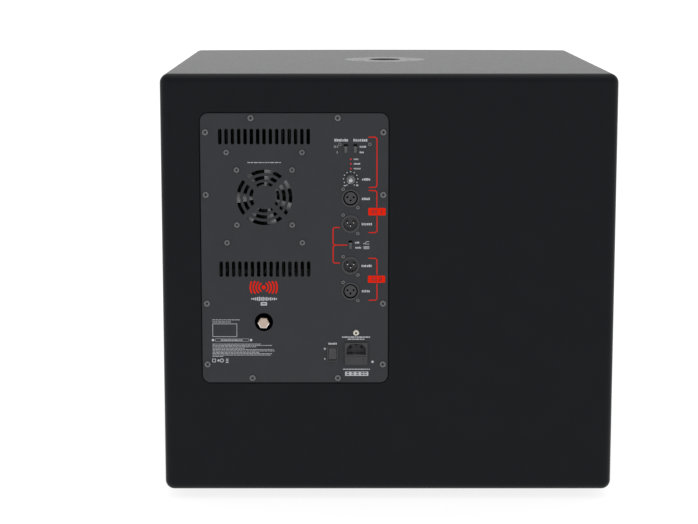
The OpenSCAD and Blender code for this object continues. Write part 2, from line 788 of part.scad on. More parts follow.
// Drawer for the mains fuse, which lies across it, with a front as wide as the inlet
module fuse_drawer() color([0.1, 0.1, 0.11]) on_panel(iec_at + [0, drawer_mid]) difference() {
  union() {
    slab(drawer_size[0], drawer_size[1], -drawer_deep, 1.5);
    translate([0, (front_h - iec_size[1]) / 2 - drawer_mid]) slab(iec_size[0], front_h, front_back, 2.2);
  }
  translate([0, 1.1]) slab(21, 6.8, -17, -9);
  translate([9, 1.2]) slab(1.2, 1.6, 1.6, 3);
}
module fuse() color([0.8, 0.82, 0.8]) on_panel(iec_at + [0, drawer_mid]) translate([-10, 0.4, -13])
  rotate([0, 90, 0]) cylinder(r = 2.5, h = 20);

module power_switch_frame() color([0.08, 0.08, 0.09]) on_panel(power_at) difference() {
  union() {
    plate(14.7, 20.2, 1, 0, 1.5);
    slab(13, 18.6, -16, 1);
  }
  slab(rocker_w + 0.7, 2 * rocker_r + 0.6, -13, 2);
  translate([0, 0, rocker_pivot]) rotate([0, 90, 0]) rod(rocker_pin_r + 0.05, -8, 8);
}
// Rocker at rest with its upper end pressed in
module power_rocker() color([0.1, 0.1, 0.11]) on_panel(power_at) translate([0, 0, rocker_pivot])
  rotate([-rocker_tilt, 0, 0]) rotate([90, 0, 90]) {
    linear_extrude(rocker_w, center = true) intersection() {
      circle(r = rocker_r);
      polygon([[-9, -7], [9, -7], [9, 3.6 + 9 * tan(rocker_tilt)], [0, 3.6], [-9, 3.6 + 9 * tan(rocker_tilt)]]);
    }
    cylinder(r = rocker_pin_r, h = 12.6, center = true);
  }

// ---------- cable inside the cabinet ----------

// Points from the amplifier box to the driver's terminal
cable_start = rear_y - panel_t - amp_depth;
cable_end = baffle_y + 84;
cable_points = [
  [100, cable_start, 240], [100, 160, 240], [104, 110, 232], [112, 60, 228], [122, 0, 240],
  [132, -60, 280], [138, -110, 325], [138.6, -150, 344.4], [138.6, cable_end, 344.4]
];
cable_r = 3.5;
cable_sides = 8;
cable_steps = 4;

// Catmull-Rom curve through the points, with its ends held straight
function guide(i) = let (n = len(cable_points) - 1)
  i < 0 ? 2 * cable_points[0] - cable_points[1]
  : i > n ? 2 * cable_points[n] - cable_points[n - 1] : cable_points[i];
function curve(i, t) = let (a = guide(i - 1), b = guide(i), c = guide(i + 1), d = guide(i + 2))
  0.5 * (2 * b + (c - a) * t + (2 * a - 5 * b + 4 * c - d) * t * t + (3 * b - a - 3 * c + d) * t * t * t);
cable_path = concat(
  [for (i = [0:len(cable_points) - 2], k = [0:cable_steps - 1]) curve(i, k / cable_steps)],
  [cable_points[len(cable_points) - 1]]
);

// The rings all stand square to Y, as the cable runs mostly that way
module speaker_cable() color([0.08, 0.08, 0.08]) {
  rings = len(cable_path);
  points = [for (p = cable_path, k = [0:cable_sides - 1])
    p + cable_r * [cos(360 * k / cable_sides), 0, sin(360 * k / cable_sides)]];
  walls = [for (i = [0:rings - 2], k = [0:cable_sides - 1]) let (m = (k + 1) % cable_sides)
    [i * cable_sides + k, i * cable_sides + m, (i + 1) * cable_sides + m, (i + 1) * cable_sides + k]];
  first = [for (k = [cable_sides - 1:-1:0]) k];
  last = [for (k = [0:cable_sides - 1]) (rings - 1) * cable_sides + k];
  polyhedron(points, concat([first, last], walls));
}

// ---------- hardware ----------

// Flush flange and tube for a loudspeaker pole, with a flared mouth and an M20 thread in its floor
module pole_socket() color([0.3, 0.31, 0.32]) translate([0, pole_y, top_z]) difference() {
  mouth = 5;
  flare = 1.1;
  union() {
    rod(pole_flange_d / 2, -flange_t, 0);
    rod(socket_r, -pole_depth - m20_len, -flange_t / 2);
  }
  rod(pole_bore / 2, -pole_depth, 1);
  translate([0, 0, -mouth]) cylinder(h = mouth + 1, r1 = pole_bore / 2, r2 = pole_bore / 2 + flare * (mouth + 1));
  rod(m20_r, -pole_depth - m20_len - 1, 0);
  for (p = pole_screws) translate(p) wood_hole(12);
}

// Moulded pocket with a round grip bar across its upper half
module side_handle() on_right_side() difference() {
  union() {
    difference() {
      union() {
        plate(pocket_w + 2 * handle_lip, pocket_h + 2 * handle_lip, 22, -handle_wall, 0);
        plate(pocket_w + 2 * handle_wall, pocket_h + 2 * handle_wall, 18, -pocket_d - handle_wall, -1);
      }
      plate(pocket_w, pocket_h, 15, -pocket_d, 1);
    }
    translate([0, 22, -15]) rotate([0, 90, 0]) cylinder(r = 12, h = pocket_w + handle_wall, center = true);
  }
  for (p = handle_screws) translate(p) wood_hole(13);
}
module handle_right() color([0.11, 0.11, 0.12]) side_handle();
module handle_left() color([0.11, 0.11, 0.12]) mirror([1, 0, 0]) side_handle();

foot_seat = 6;
module feet() color([0.06, 0.06, 0.06]) foot_places() difference() {
  cylinder(r1 = 17, r2 = 19, h = foot_h);
  rod(6, -1, foot_seat);
  rod(wood_r + fit_gap, -1, foot_h + 1);
}

module wood_screws() color([0.2, 0.2, 0.21]) {
  translate([0, pole_y, top_z]) for (p = pole_screws) translate(p) wood_screw(12);
  both_sides() on_right_side() for (p = handle_screws) translate(p) wood_screw(13);
  foot_places() translate([0, 0, foot_seat]) mirror([0, 0, 1]) pan_screw(4.5, 2.5, wood_r, 17);
}

cabinet_top();
cabinet_bottom();
cabinet_left();
cabinet_right();
cabinet_rear();
front_baffle();
cross_brace();
port_boards();
grille_rails();
wadding();
grille_panel();
grille_foam();
grille_screws();
woofer_gasket();
woofer_basket();
woofer_surround();
woofer_cone();
woofer_dust_cap();
woofer_spider();
woofer_voice_coil();
woofer_motor_steel();
woofer_magnet();
woofer_bolts();
amp_panel();
amp_gasket();
amp_panel_screws();
amp_back_cover();
heatsink();
fan_frame();
fan_impeller();
module_screws();
amp_board();
transformer();
transformer_bolt();
control_board();
switch_bodies();
polarity_slider();
contour_slider();
link_slider();
level_pot();
level_knob();
status_leds();
xlr_shells();
xlr_input_inserts();
xlr_output_pins();
connector_screws();
ground_screw();
iec_inlet();
iec_pins();
fuse_drawer();
fuse();
power_switch_frame();
power_rocker();
speaker_cable();
pole_socket();
handle_left();
handle_right();
feet();
wood_screws();
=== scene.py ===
import json
import math
import random

import bmesh
import bpy
from mathutils import Matrix, Vector, noise


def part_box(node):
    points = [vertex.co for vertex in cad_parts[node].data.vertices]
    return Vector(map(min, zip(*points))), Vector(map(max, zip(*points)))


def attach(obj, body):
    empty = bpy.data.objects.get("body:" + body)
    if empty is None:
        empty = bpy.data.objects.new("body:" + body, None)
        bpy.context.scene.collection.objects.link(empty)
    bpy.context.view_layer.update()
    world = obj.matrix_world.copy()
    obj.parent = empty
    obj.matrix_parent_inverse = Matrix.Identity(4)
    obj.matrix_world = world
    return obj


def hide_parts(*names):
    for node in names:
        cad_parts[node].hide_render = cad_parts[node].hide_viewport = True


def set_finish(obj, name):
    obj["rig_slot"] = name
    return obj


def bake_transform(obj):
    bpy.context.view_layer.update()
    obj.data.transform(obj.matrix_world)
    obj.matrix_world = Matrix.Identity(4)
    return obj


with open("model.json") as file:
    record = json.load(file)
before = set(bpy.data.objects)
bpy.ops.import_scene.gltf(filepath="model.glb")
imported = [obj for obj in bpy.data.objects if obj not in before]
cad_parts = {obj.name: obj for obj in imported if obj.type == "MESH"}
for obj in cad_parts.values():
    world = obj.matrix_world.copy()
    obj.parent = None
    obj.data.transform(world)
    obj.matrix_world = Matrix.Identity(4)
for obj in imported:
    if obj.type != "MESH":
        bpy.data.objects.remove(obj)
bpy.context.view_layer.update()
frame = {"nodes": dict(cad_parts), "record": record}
MM = 0.001
random.seed(7)


# ---------- places in millimetres
def box_of(*nodes):
    corners = [corner / MM for node in nodes for corner in map(Vector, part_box(node))]
    low = Vector(min(c[axis] for c in corners) for axis in range(3))
    high = Vector(max(c[axis] for c in corners) for axis in range(3))
    return low, high


CAB_LOW, CAB_HIGH = box_of("cabinet_left", "cabinet_right", "cabinet_top", "cabinet_bottom")
CAB_FRONT = box_of("cabinet_left")[0].y
PANEL_LOW, PANEL_HIGH = box_of("amp_panel")
REAR_Y = CAB_HIGH.y
MID_X = (CAB_LOW.x + CAB_HIGH.x) / 2
MID_Z = (CAB_LOW.z + CAB_HIGH.z) / 2
HALF_W = (CAB_HIGH.x - CAB_LOW.x) / 2
BOARD = CAB_HIGH.z - box_of("cabinet_right")[1].z
EDGE_R = 12.0
BOW = CAB_FRONT - CAB_LOW.y
BOW_R = (HALF_W**2 + BOW**2) / (2 * BOW)
BOW_Y = CAB_LOW.y + BOW_R
INNER_X = HALF_W - BOARD
INNER_LOW = CAB_LOW.z + BOARD
INNER_HIGH = CAB_HIGH.z - BOARD

MODEL = Matrix.Scale(MM, 4)
PANEL_X = (PANEL_LOW.x + PANEL_HIGH.x) / 2
PANEL_Z = (PANEL_LOW.z + PANEL_HIGH.z) / 2
PANEL_W = PANEL_HIGH.x - PANEL_LOW.x
PANEL_H = PANEL_HIGH.z - PANEL_LOW.z
HALF_TURN = Matrix.Rotation(math.pi, 4, "Z")
UPRIGHT = Matrix.Rotation(math.pi / 2, 4, "X")
# Panel axes: u to the right as seen from behind, v up, w out of the panel
PANEL = Matrix.Translation(Vector((PANEL_X, REAR_Y, PANEL_Z)) * MM) @ HALF_TURN @ UPRIGHT @ MODEL
BAFFLE_Y = box_of("front_baffle")[0].y
# Driver axes: u to the right as seen from the front, v up, w out of the baffle
DRIVER = Matrix.Translation(Vector((MID_X, BAFFLE_Y, MID_Z)) * MM) @ UPRIGHT @ MODEL


def arc_y(radius, x):
    """Depth of the bowed front's arc of that radius, x away from the middle."""
    return BOW_Y - math.sqrt(radius**2 - x**2)


def polar(centre, radius, angle, *w):
    """Point at that radius and angle around a centre, at the height w where it is given."""
    return (centre[0] + radius * math.cos(angle), centre[1] + radius * math.sin(angle), *w)


def four(centre, across, up):
    """Places in a rectangle's corners, so far from its centre."""
    return [(centre[0] + s * across, centre[1] + t * up) for s in (-1, 1) for t in (-1, 1)]


def distance(point, place):
    """Distance between a point and a place in the panel's plane."""
    return math.hypot(point.x - place[0], point.y - place[1])


# Features of the amplifier panel, from its centre
EDGE_SCREWS = four((0.0, 0.0), 55.9, 170.5)
EDGE_SCREWS += [(s * 114.6, v) for s in (-1, 1) for v in (-152.2, -71.4, 71.3, 152.2)]
FAN = (-38.85, 67.8)
SINK_SCREWS = four((FAN[0], FAN[1] - 0.25), 48.75, 58.75)
FAN_SCREWS = four(FAN, 35.75, 35.75)
INPUTS = [(72.4, 66.8), (72.4, -55.2)]
OUTPUTS = [(72.4, 33.1), (72.4, -21.5)]
SMALL_SCREWS = [(u + s * -9.5, v + s * 12.0) for u, v in INPUTS + OUTPUTS for s in (-1, 1)]
SMALL_SCREWS += [(58.6, 136.8), (97.2, 136.8)]
SWITCHES = [(66.5, 131.1), (78.6, 131.1), (72.4, 5.8)]
LEVEL = (72.7, 91.3)
IEC = (79.8, -138.0)
IEC_DEEP = 17.5
POWER = (48.9, -138.3)
COIL = (-41.1, -97.85)
CUP_R = 14.6
OUTPUT_R = 9.8
GROUND = (79.7, -110.1)


# ---------- procedural materials
MATERIALS = {}


class Nodes:
    """A new material, kept in MATERIALS, and short names for the shader nodes it is built from."""

    def __init__(self, name):
        self.material = MATERIALS[name] = bpy.data.materials.new(name)
        self.material.use_nodes = True
        self.tree = self.material.node_tree
        self.bsdf = self.tree.nodes["Principled BSDF"]
        self.place = self.tree.nodes.new("ShaderNodeTexCoord").outputs["Object"]

    def put(self, kind, **values):
        node = self.tree.nodes.new("ShaderNode" + kind)
        for key, value in values.items():
            if hasattr(node, key):
                setattr(node, key, value)
            else:
                self.feed(node.inputs[key.replace("_", " ")], value)
        return node

    def feed(self, socket, value):
        if isinstance(value, bpy.types.NodeSocket):
            self.tree.links.new(value, socket)
        else:
            socket.default_value = value

    def stretched(self, scale):
        return self.put("Mapping", Vector=self.place, Scale=scale).outputs["Vector"]

    def noise(self, scale, detail=3.0, roughness=0.5, place=None):
        node = self.put("TexNoise", Vector=place or self.place, Scale=scale, Detail=detail)
        node.inputs["Roughness"].default_value = roughness
        return node.outputs["Fac"]

    def cells(self, scale, feature="F1"):
        return self.put("TexVoronoi", feature=feature, Vector=self.place, Scale=scale).outputs["Distance"]

    def wave(self, scale, distortion, direction):
        node = self.put("TexWave", bands_direction=direction, Vector=self.place, Scale=scale,
                        Distortion=distortion, Detail=2.0)
        return node.outputs["Fac"]

    def ramp(self, value, low, high, out_low=0.0, out_high=1.0):
        node = self.put("MapRange")
        keys = ("Value", "From Min", "From Max", "To Min", "To Max")
        for key, v in zip(keys, (value, low, high, out_low, out_high)):
            self.feed(node.inputs[key], v)
        return node.outputs["Result"]

    def math(self, operation, a, b):
        node = self.put("Math", operation=operation)
        self.feed(node.inputs[0], a)
        self.feed(node.inputs[1], b)
        return node.outputs[0]

    def blend(self, share, a, b):
        node = self.put("Mix", data_type="RGBA")
        self.feed(node.inputs["Factor"], share)
        for socket, colour in ((node.inputs[6], a), (node.inputs[7], b)):
            self.feed(socket, colour if isinstance(colour, bpy.types.NodeSocket) else (*colour, 1.0))
        return node.outputs[2]

    def bump(self, height, depth, strength=1.0):
        return self.put("Bump", Height=height, Distance=depth, Strength=strength).outputs["Normal"]

    def finish(self, colour, roughness, normal=None, specular=0.5, **constants):
        self.bsdf.inputs["Specular IOR Level"].default_value = specular
        self.feed(self.bsdf.inputs["Base Color"], colour)
        self.feed(self.bsdf.inputs["Roughness"], roughness)
        if normal is not None:
            self.feed(self.bsdf.inputs["Normal"], normal)
        for key, value in constants.items():
            self.bsdf.inputs[key.replace("_", " ")].default_value = value
        return self.material


def plain_finish(name, dark, light, patch, rough, grain=None, depth=0.00002, **constants):
    """Two close colours in soft patches, uneven roughness, and a fine grain of so many cells to the metre."""
    n = Nodes(name)
    patches = n.noise(patch, 4.0, 0.6)
    colour = n.blend(n.ramp(patches, 0.3, 0.7), dark, light)
    roughness = n.ramp(n.noise(patch * 5, 3.0), 0.3, 0.7, *rough)
    normal = n.bump(n.noise(grain, 2.0, 0.6), depth) if grain else None
    return n.finish(colour, roughness, normal, **constants)


def coating():
    """Sprayed textured coating: tight orange peel with small raised grains."""
    n = Nodes("cabinet_coating")
    peel = n.cells(620.0, "SMOOTH_F1")
    grains = n.noise(1500.0, 2.0, 0.5)
    height = n.math("ADD", n.math("MULTIPLY", peel, 0.7), n.math("MULTIPLY", grains, 0.5))
    colour = n.blend(n.ramp(n.noise(24.0, 4.0), 0.3, 0.7), (0.0030, 0.0038, 0.0058), (0.0038, 0.0047, 0.0068))
    roughness = n.ramp(n.noise(300.0, 3.0), 0.3, 0.7, 0.30, 0.36)
    return n.finish(colour, roughness, n.bump(height, 0.00006, 0.2), specular=0.13)


def panel_paint():
    """Fine grey powder coat on the faces, with painted shade that turns it black inside the slots, the cup
    and along the panel's edges.
    """
    n = Nodes("panel_paint")
    patches = n.ramp(n.noise(30.0, 4.0, 0.6), 0.3, 0.7)
    colour = n.blend(patches, (0.0285, 0.0298, 0.0342), (0.0315, 0.0328, 0.0374))
    depth = n.put("SeparateXYZ", Vector=n.place).outputs["Y"]
    # Painted shade: the coat fades to near black on faces more than 0.6 to 1.9 mm behind the rear face.
    face = n.ramp(depth, (REAR_Y - 1.9) * MM, (REAR_Y - 0.6) * MM)
    colour = n.blend(face, (0.0015, 0.0015, 0.0018), colour)
    roughness = n.ramp(n.noise(150.0, 3.0), 0.3, 0.7, 0.46, 0.58)
    return n.finish(colour, roughness, n.bump(n.noise(1700.0, 2.0, 0.6), 0.00004), specular=0.2)


def plywood(name, dark, light, ply_axis):
    n = Nodes(name)
    scale = [6.0, 6.0, 6.0]
    scale[ply_axis] = 180.0
    figure = n.noise(3.0, 6.0, 0.65, n.stretched(tuple(scale)))
    fibre = n.noise(40.0, 4.0, 0.7, n.stretched((1.0, 9.0, 9.0)))
    share = n.math("ADD", n.math("MULTIPLY", figure, 0.7), n.math("MULTIPLY", fibre, 0.35))
    return n.finish(n.blend(n.ramp(share, 0.35, 0.7), dark, light), n.ramp(fibre, 0.3, 0.7, 0.5, 0.7),
                    n.bump(fibre, 0.0001, 0.5))


def cloth(name, dark, light, threads):
    """Woven threads in two directions, so many to the metre, doped and a little uneven."""
    n = Nodes(name)
    across = n.wave(threads / 6.283, 0.2, "X")
    upright = n.wave(threads / 6.283, 0.2, "Z")
    weave = n.math("MULTIPLY", across, upright)
    colour = n.blend(n.ramp(n.math("ADD", weave, n.noise(90.0)), 0.3, 1.3), dark, light)
    return n.finish(colour, n.ramp(weave, 0.0, 1.0, 0.95, 0.6), n.bump(weave, 0.0003, 0.6), Sheen_Weight=0.2)


def fibre(name, dark, light, scale, depth):
    n = Nodes(name)
    tangle = n.noise(scale, 6.0, 0.75, n.stretched((1.0, 1.0, 2.2)))
    return n.finish(n.blend(n.ramp(tangle, 0.3, 0.7), dark, light), n.ramp(tangle, 0.3, 0.7, 0.85, 1.0),
                    n.bump(tangle, depth, 0.9), Sheen_Weight=0.3)


def brushed(name, dark, light, rough, along, metallic=1.0):
    """Drawn or ground metal: fine lines along one axis."""
    n = Nodes(name)
    scale = [900.0, 900.0, 900.0]
    scale[along] = 14.0
    lines = n.noise(1.0, 4.0, 0.6, n.stretched(tuple(scale)))
    spots = n.noise(45.0, 4.0)
    share = n.math("ADD", n.math("MULTIPLY", lines, 0.6), n.math("MULTIPLY", spots, 0.5))
    colour = n.blend(n.ramp(share, 0.35, 0.75), dark, light)
    return n.finish(colour, n.ramp(lines, 0.3, 0.7, *rough), n.bump(lines, 0.00003, 0.4), Metallic=metallic)


def spangled_zinc():
    n = Nodes("zinc_sheet")
    flakes = n.put("TexVoronoi", Vector=n.place, Scale=75.0).outputs["Color"]
    tone = n.put("SeparateColor", Color=flakes).outputs[0]
    return n.finish(n.blend(tone, (0.42, 0.43, 0.45), (0.6, 0.61, 0.63)), n.ramp(tone, 0.0, 1.0, 0.28, 0.45),
                    n.bump(n.noise(700.0), 0.00002, 0.3), Metallic=1.0)


def open_cell_foam():
    n = Nodes("acoustic_foam")
    cell = n.cells(700.0)
    big = n.cells(240.0, "SMOOTH_F1")
    height = n.math("ADD", cell, n.math("MULTIPLY", big, 0.5))
    # Painted shade: the colour darkens towards the cells' centres, which are the pits of the same bump.
    return n.finish(n.blend(n.ramp(cell, 0.1, 0.6), (0.004, 0.004, 0.0045), (0.012, 0.012, 0.013)),
                    n.ramp(cell, 0.0, 0.7, 1.0, 0.85), n.bump(height, 0.0012, 1.0), specular=0.2)


def circuit_board():
    n = Nodes("circuit_board")
    traces = n.wave(70.0, 9.0, "X")
    pads = n.cells(170.0)
    colour = n.blend(n.ramp(traces, 0.62, 0.7), (0.012, 0.075, 0.032), (0.03, 0.16, 0.07))
    colour = n.blend(n.ramp(pads, 0.11, 0.14), (0.45, 0.42, 0.33), colour)
    return n.finish(colour, n.ramp(n.noise(160.0), 0.3, 0.7, 0.28, 0.42), n.bump(traces, 0.00004, 0.5))


def winding():
    """Taped turns round a ring, seen as fine radial wraps."""
    n = Nodes("transformer_winding")
    wraps = n.wave(95.0, 3.0, "DIAGONAL")
    tape = n.noise(30.0, 3.0)
    share = n.ramp(n.math("MULTIPLY", wraps, tape), 0.1, 0.6)
    colour = n.blend(share, (0.010, 0.008, 0.006), (0.030, 0.022, 0.014))
    return n.finish(colour, n.ramp(wraps, 0.0, 1.0, 0.55, 0.4), n.bump(wraps, 0.0005, 0.8), Coat_Weight=0.1)


def coil_wire():
    n = Nodes("coil_copper")
    turns = n.wave(420.0, 0.0, "Y")
    # Painted shade: the copper darkens between the turns, where the bump sinks.
    colour = n.blend(turns, (0.35, 0.13, 0.05), (0.78, 0.38, 0.17))
    return n.finish(colour, n.ramp(turns, 0.0, 1.0, 0.5, 0.25), n.bump(turns, 0.0003, 0.8), Metallic=1.0)


def glowing(name, colour, strength):
    n = Nodes(name)
    facets = n.cells(900.0)
    dim = tuple(c * 0.6 for c in colour)
    material = n.finish(n.blend(n.ramp(facets, 0.0, 0.7), colour, dim), n.ramp(facets, 0.0, 0.7, 0.12, 0.25))
    n.bsdf.inputs["Emission Color"].default_value = (*colour, 1.0)
    n.bsdf.inputs["Emission Strength"].default_value = strength
    return material


def clear_glass():
    n = Nodes("fuse_glass")
    roughness = n.ramp(n.noise(200.0), 0.3, 0.7, 0.04, 0.1)
    return n.finish((0.9, 0.93, 0.92, 1.0), roughness, Transmission_Weight=0.9)


def moulding(name, dark, light, rough, grain=1600.0, depth=0.00002, **constants):
    """Moulded plastic with a spark-eroded grain."""
    n = Nodes(name)
    leather = n.cells(grain, "SMOOTH_F1")
    colour = n.blend(n.ramp(n.noise(70.0, 4.0), 0.3, 0.7), dark, light)
    return n.finish(colour, n.ramp(leather, 0.0, 0.8, *rough), n.bump(leather, depth, 0.5), **constants)


def grey(*tones):
    """Colours that are grey with a trace of blue."""
    return [(t, t, t * 1.07) for t in tones]


# One for each slot of the record
coating()
plywood("black_stained_ply", (0.006, 0.006, 0.0065), (0.016, 0.015, 0.015), 2)
plywood("bare_plywood", (0.36, 0.22, 0.1), (0.62, 0.44, 0.25), 1)
fibre("wadding_felt", (0.42, 0.42, 0.4), (0.7, 0.7, 0.68), 160.0, 0.0015)
plain_finish("grille_steel", *grey(0.007, 0.010), 40.0, (0.36, 0.46), 1800.0, 0.00003)
open_cell_foam()
plain_finish("black_screws", *grey(0.012, 0.022), 300.0, (0.28, 0.42), 2500.0)
plain_finish("black_rubber", *grey(0.006, 0.011), 90.0, (0.65, 0.85), 1400.0, 0.00004)
plain_finish("cast_frame", *grey(0.03, 0.045), 50.0, (0.42, 0.6), 1200.0, 0.00008)
cloth("surround_cloth", *grey(0.008, 0.022), 1300.0)
fibre("cone_paper", *grey(0.012, 0.032), 420.0, 0.0004)
cloth("spider_cloth", (0.36, 0.2, 0.05), (0.62, 0.42, 0.15), 900.0)
coil_wire()
brushed("motor_steel", *grey(0.34, 0.52), (0.28, 0.42), 0)
plain_finish("ferrite", *grey(0.02, 0.045), 120.0, (0.35, 0.6), 700.0, 0.00006)
panel_paint()
plain_finish("panel_print_white", *grey(0.42, 0.5), 400.0, (0.5, 0.65), 2200.0, 0.00001)
plain_finish("panel_print_red", (0.70, 0.013, 0.001), (0.78, 0.017, 0.002), 300.0, (0.5, 0.65), 2200.0,
             0.00001, specular=0.05)
brushed("panel_screw_steel", *grey(0.12, 0.19), (0.3, 0.45), 1)
spangled_zinc()
brushed("heatsink_aluminium", *grey(0.002, 0.004), (0.5, 0.6), 2, 0.3)
moulding("fan_plastic", *grey(0.006, 0.01), (0.4, 0.5), 1200.0, specular=0.2)
circuit_board()
winding()
brushed("zinc_bolt", (0.45, 0.355, 0.295), (0.54, 0.435, 0.36), (0.22, 0.36), 1)
moulding("connector_plastic", *grey(0.031, 0.039), (0.34, 0.46), specular=0.25)
moulding("insert_plastic", *grey(0.045, 0.06), (0.45, 0.55), specular=0.25)
moulding("slider_plastic", *grey(0.1, 0.14), (0.4, 0.5))
brushed("pot_metal", *grey(0.24, 0.36), (0.3, 0.4), 0)
moulding("knob_plastic", *grey(0.105, 0.14), (0.3, 0.4))
glowing("red_led", (0.8, 0.016, 0.018), 0.16)
brushed("plated_pins", (0.7, 0.69, 0.65), (0.85, 0.84, 0.8), (0.15, 0.28), 1)
brushed("brass_screw", (0.86, 0.83, 0.74), (0.97, 0.95, 0.88), (0.2, 0.35), 1)
clear_glass()
plain_finish("rocker_plastic", *grey(0.056, 0.064), 80.0, (0.3, 0.38), 1500.0, 0.00001, specular=0.25)
plain_finish("cable_jacket", *grey(0.01, 0.02), 120.0, (0.45, 0.6), 900.0, 0.00004)
plain_finish("socket_metal", *grey(0.012, 0.018), 60.0, (0.24, 0.32), 1500.0, 0.00004, specular=0.3)
moulding("handle_plastic", *grey(0.008, 0.012), (0.4, 0.55), 800.0, 0.0001, specular=0.25)
# Further ones for single pieces and faces
# Painted light: fan blades far paler than the fan's own black plastic, standing in for light through the
# panel's slots.
LIT_BLADES = moulding("blade_painted_light", *grey(0.3, 0.38), (0.3, 0.42), 1200.0)
SCREW_RIM = brushed("screw_rim", *grey(0.14, 0.19), (0.3, 0.42), 1)
# Painted shade: darker copies of the screw metals for the heads' top faces.
SCREW_FACE_SHADE = brushed("screw_face_painted_shade", *grey(0.11, 0.15), (0.35, 0.5), 1)
BRASS_FACE_SHADE = brushed("brass_face_painted_shade", (0.36, 0.34, 0.27), (0.46, 0.44, 0.36), (0.3, 0.45), 1)
# Painted highlight: pale metal on the lower chamfers of the bolt's hex head.
BOLT_EDGE_HIGHLIGHT = brushed("bolt_edge_painted_highlight", (0.84, 0.74, 0.68), (0.95, 0.86, 0.8), (0.16, 0.28), 1)
# Painted shade: near black in the screws' cross recesses.
RECESS_SHADE = plain_finish("screw_recess_painted_shade", *grey(0.004, 0.008), 300.0, (0.5, 0.6), specular=0.1)
KNOB_CAP = brushed("knob_cap", *grey(0.4, 0.5), (0.24, 0.36), 1)
PRINT_WHITE = MATERIALS["panel_print_white"]
# Painted shade: dark metal for the mains inlet's pins, deep in its well.
SHADED_PINS = brushed("pins_painted_shade", *grey(0.028, 0.04), (0.4, 0.5), 1)
# Painted light: much paler than the connectors' plastic, so that the sockets' recesses look less shaded.
CAVITY_LIGHT = moulding("cavity_painted_light", *grey(0.125, 0.155), (0.45, 0.55))
# Painted shade: dark metal on the output pins' sides, deep in their sockets.
PIN_SIDE_SHADE = brushed("pin_sides_painted_shade", *grey(0.06, 0.09), (0.3, 0.4), 1)
# Painted shade: near black and without gloss, for the faces of the cup round the transformer bolt.
CUP_SHADE = plain_finish("cup_painted_shade", *grey(0.0004, 0.0012), 200.0, (0.85, 1.0), specular=0.0)
SHELL_FACE = moulding("shell_face_plastic", *grey(0.046, 0.056), (0.34, 0.46), specular=0.25)
FRONT_PLASTIC = moulding("switch_frame_plastic", *grey(0.042, 0.048), (0.34, 0.46), specular=0.25)
# Painted light: pale walls inside the power switch's hole, lifting the shade of the gaps round the rocker.
SWITCH_WALL_LIGHT = moulding("switch_wall_painted_light", *grey(0.17, 0.21), (0.45, 0.55))
SLIDER_LOW = moulding("slider_low_plastic", *grey(0.058, 0.08), (0.4, 0.5))
# Painted shadow: near black on the sliders' upper ends, where the window's top edge casts shade.
SLIDER_SHADOW = moulding("slider_painted_shadow", *grey(0.008, 0.012), (0.5, 0.6), specular=0.1)


for part in frame["record"]["subparts"]:
    node = frame["nodes"][part["node"]]
    node.data.materials.clear()
    node.data.materials.append(MATERIALS[part["material_slot"]])
    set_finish(node, part["material_slot"])


# ---------- mesh building
def add_object(name, data):
    thing = bpy.data.objects.new(name, data)
    bpy.context.scene.collection.objects.link(thing)
    return thing


def to_mesh(bm, name, place=MODEL):
    """New mesh from a bmesh in its own axes, which is moved to its place and freed."""
    bm.transform(place)
    mesh = bpy.data.meshes.new(name)
    bm.to_mesh(mesh)
    bm.free()
    return mesh


def weld(bm, recalculate=True):
    bmesh.ops.remove_doubles(bm, verts=bm.verts[:], dist=0.0005)
    if recalculate:
        bmesh.ops.recalc_face_normals(bm, faces=bm.faces[:])


def mark_edges(mesh, angle):
    """Smooth faces with sharp edges where they meet at more than the angle, in degrees."""
    bm = bmesh.new()
    bm.from_mesh(mesh)
    for face in bm.faces:
        face.smooth = True
    for edge in bm.edges:
        edge.smooth = edge.calc_face_angle(0.0) < math.radians(angle)
    bm.to_mesh(mesh)
    bm.free()


def make_piece(name, bm, slot_name, body="root", place=MODEL, angle=35.0, materials=None, recalculate=True):
    """Turn a bmesh in millimetres into a piece that rides on a body."""
    weld(bm, recalculate)
    mesh = to_mesh(bm, name, place)
    mark_edges(mesh, angle)
    piece = add_object(name, mesh)
    for material in materials or [MATERIALS[slot_name]]:
        mesh.materials.append(material)
    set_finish(piece, slot_name)
    if body:
        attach(piece, body)
    return piece


def loft(bm, rings):
    """Skin outlines of equal count, and close both ends with a face."""
    rows = [[bm.verts.new(p) for p in ring] for ring in rings]
    count = len(rows[0])
    for low, high in zip(rows, rows[1:]):
        for i in range(count):
            j = (i + 1) % count
            bm.faces.new((low[i], low[j], high[j], high[i]))
    bm.faces.new(rows[0][::-1])
    bm.faces.new(rows[-1])


def lathe(bm, outline, steps, centre):
    """Turn a closed outline of (radius, w) about the w axis; points on the axis merge later."""
    rows = []
    for i in range(steps):
        rows.append([bm.verts.new(polar(centre, r, math.tau * i / steps, w)) for r, w in outline])
    count = len(outline)
    for i in range(steps):
        near, far = rows[i], rows[(i + 1) % steps]
        for k in range(count):
            n = (k + 1) % count
            if outline[k][0] > 1e-6 or outline[n][0] > 1e-6:
                bm.faces.new((near[k], far[k], far[n], near[n]))


def rounded_outline(width, height, radius, w, centre=(0.0, 0.0), steps=8):
    points = []
    for u, v, start in ((1, 1, 0), (-1, 1, 90), (-1, -1, 180), (1, -1, 270)):
        middle = (centre[0] + u * (width / 2 - radius), centre[1] + v * (height / 2 - radius))
        points += [polar(middle, radius, math.radians(start + 90 * i / steps), w) for i in range(steps + 1)]
    return points


def rounded_block(bm, width, height, radius, w0, w1, centre=(0.0, 0.0), steps=8):
    """Upright prism with rounded corners."""
    loft(bm, [rounded_outline(width, height, radius, w, centre, steps) for w in (w0, w1)])


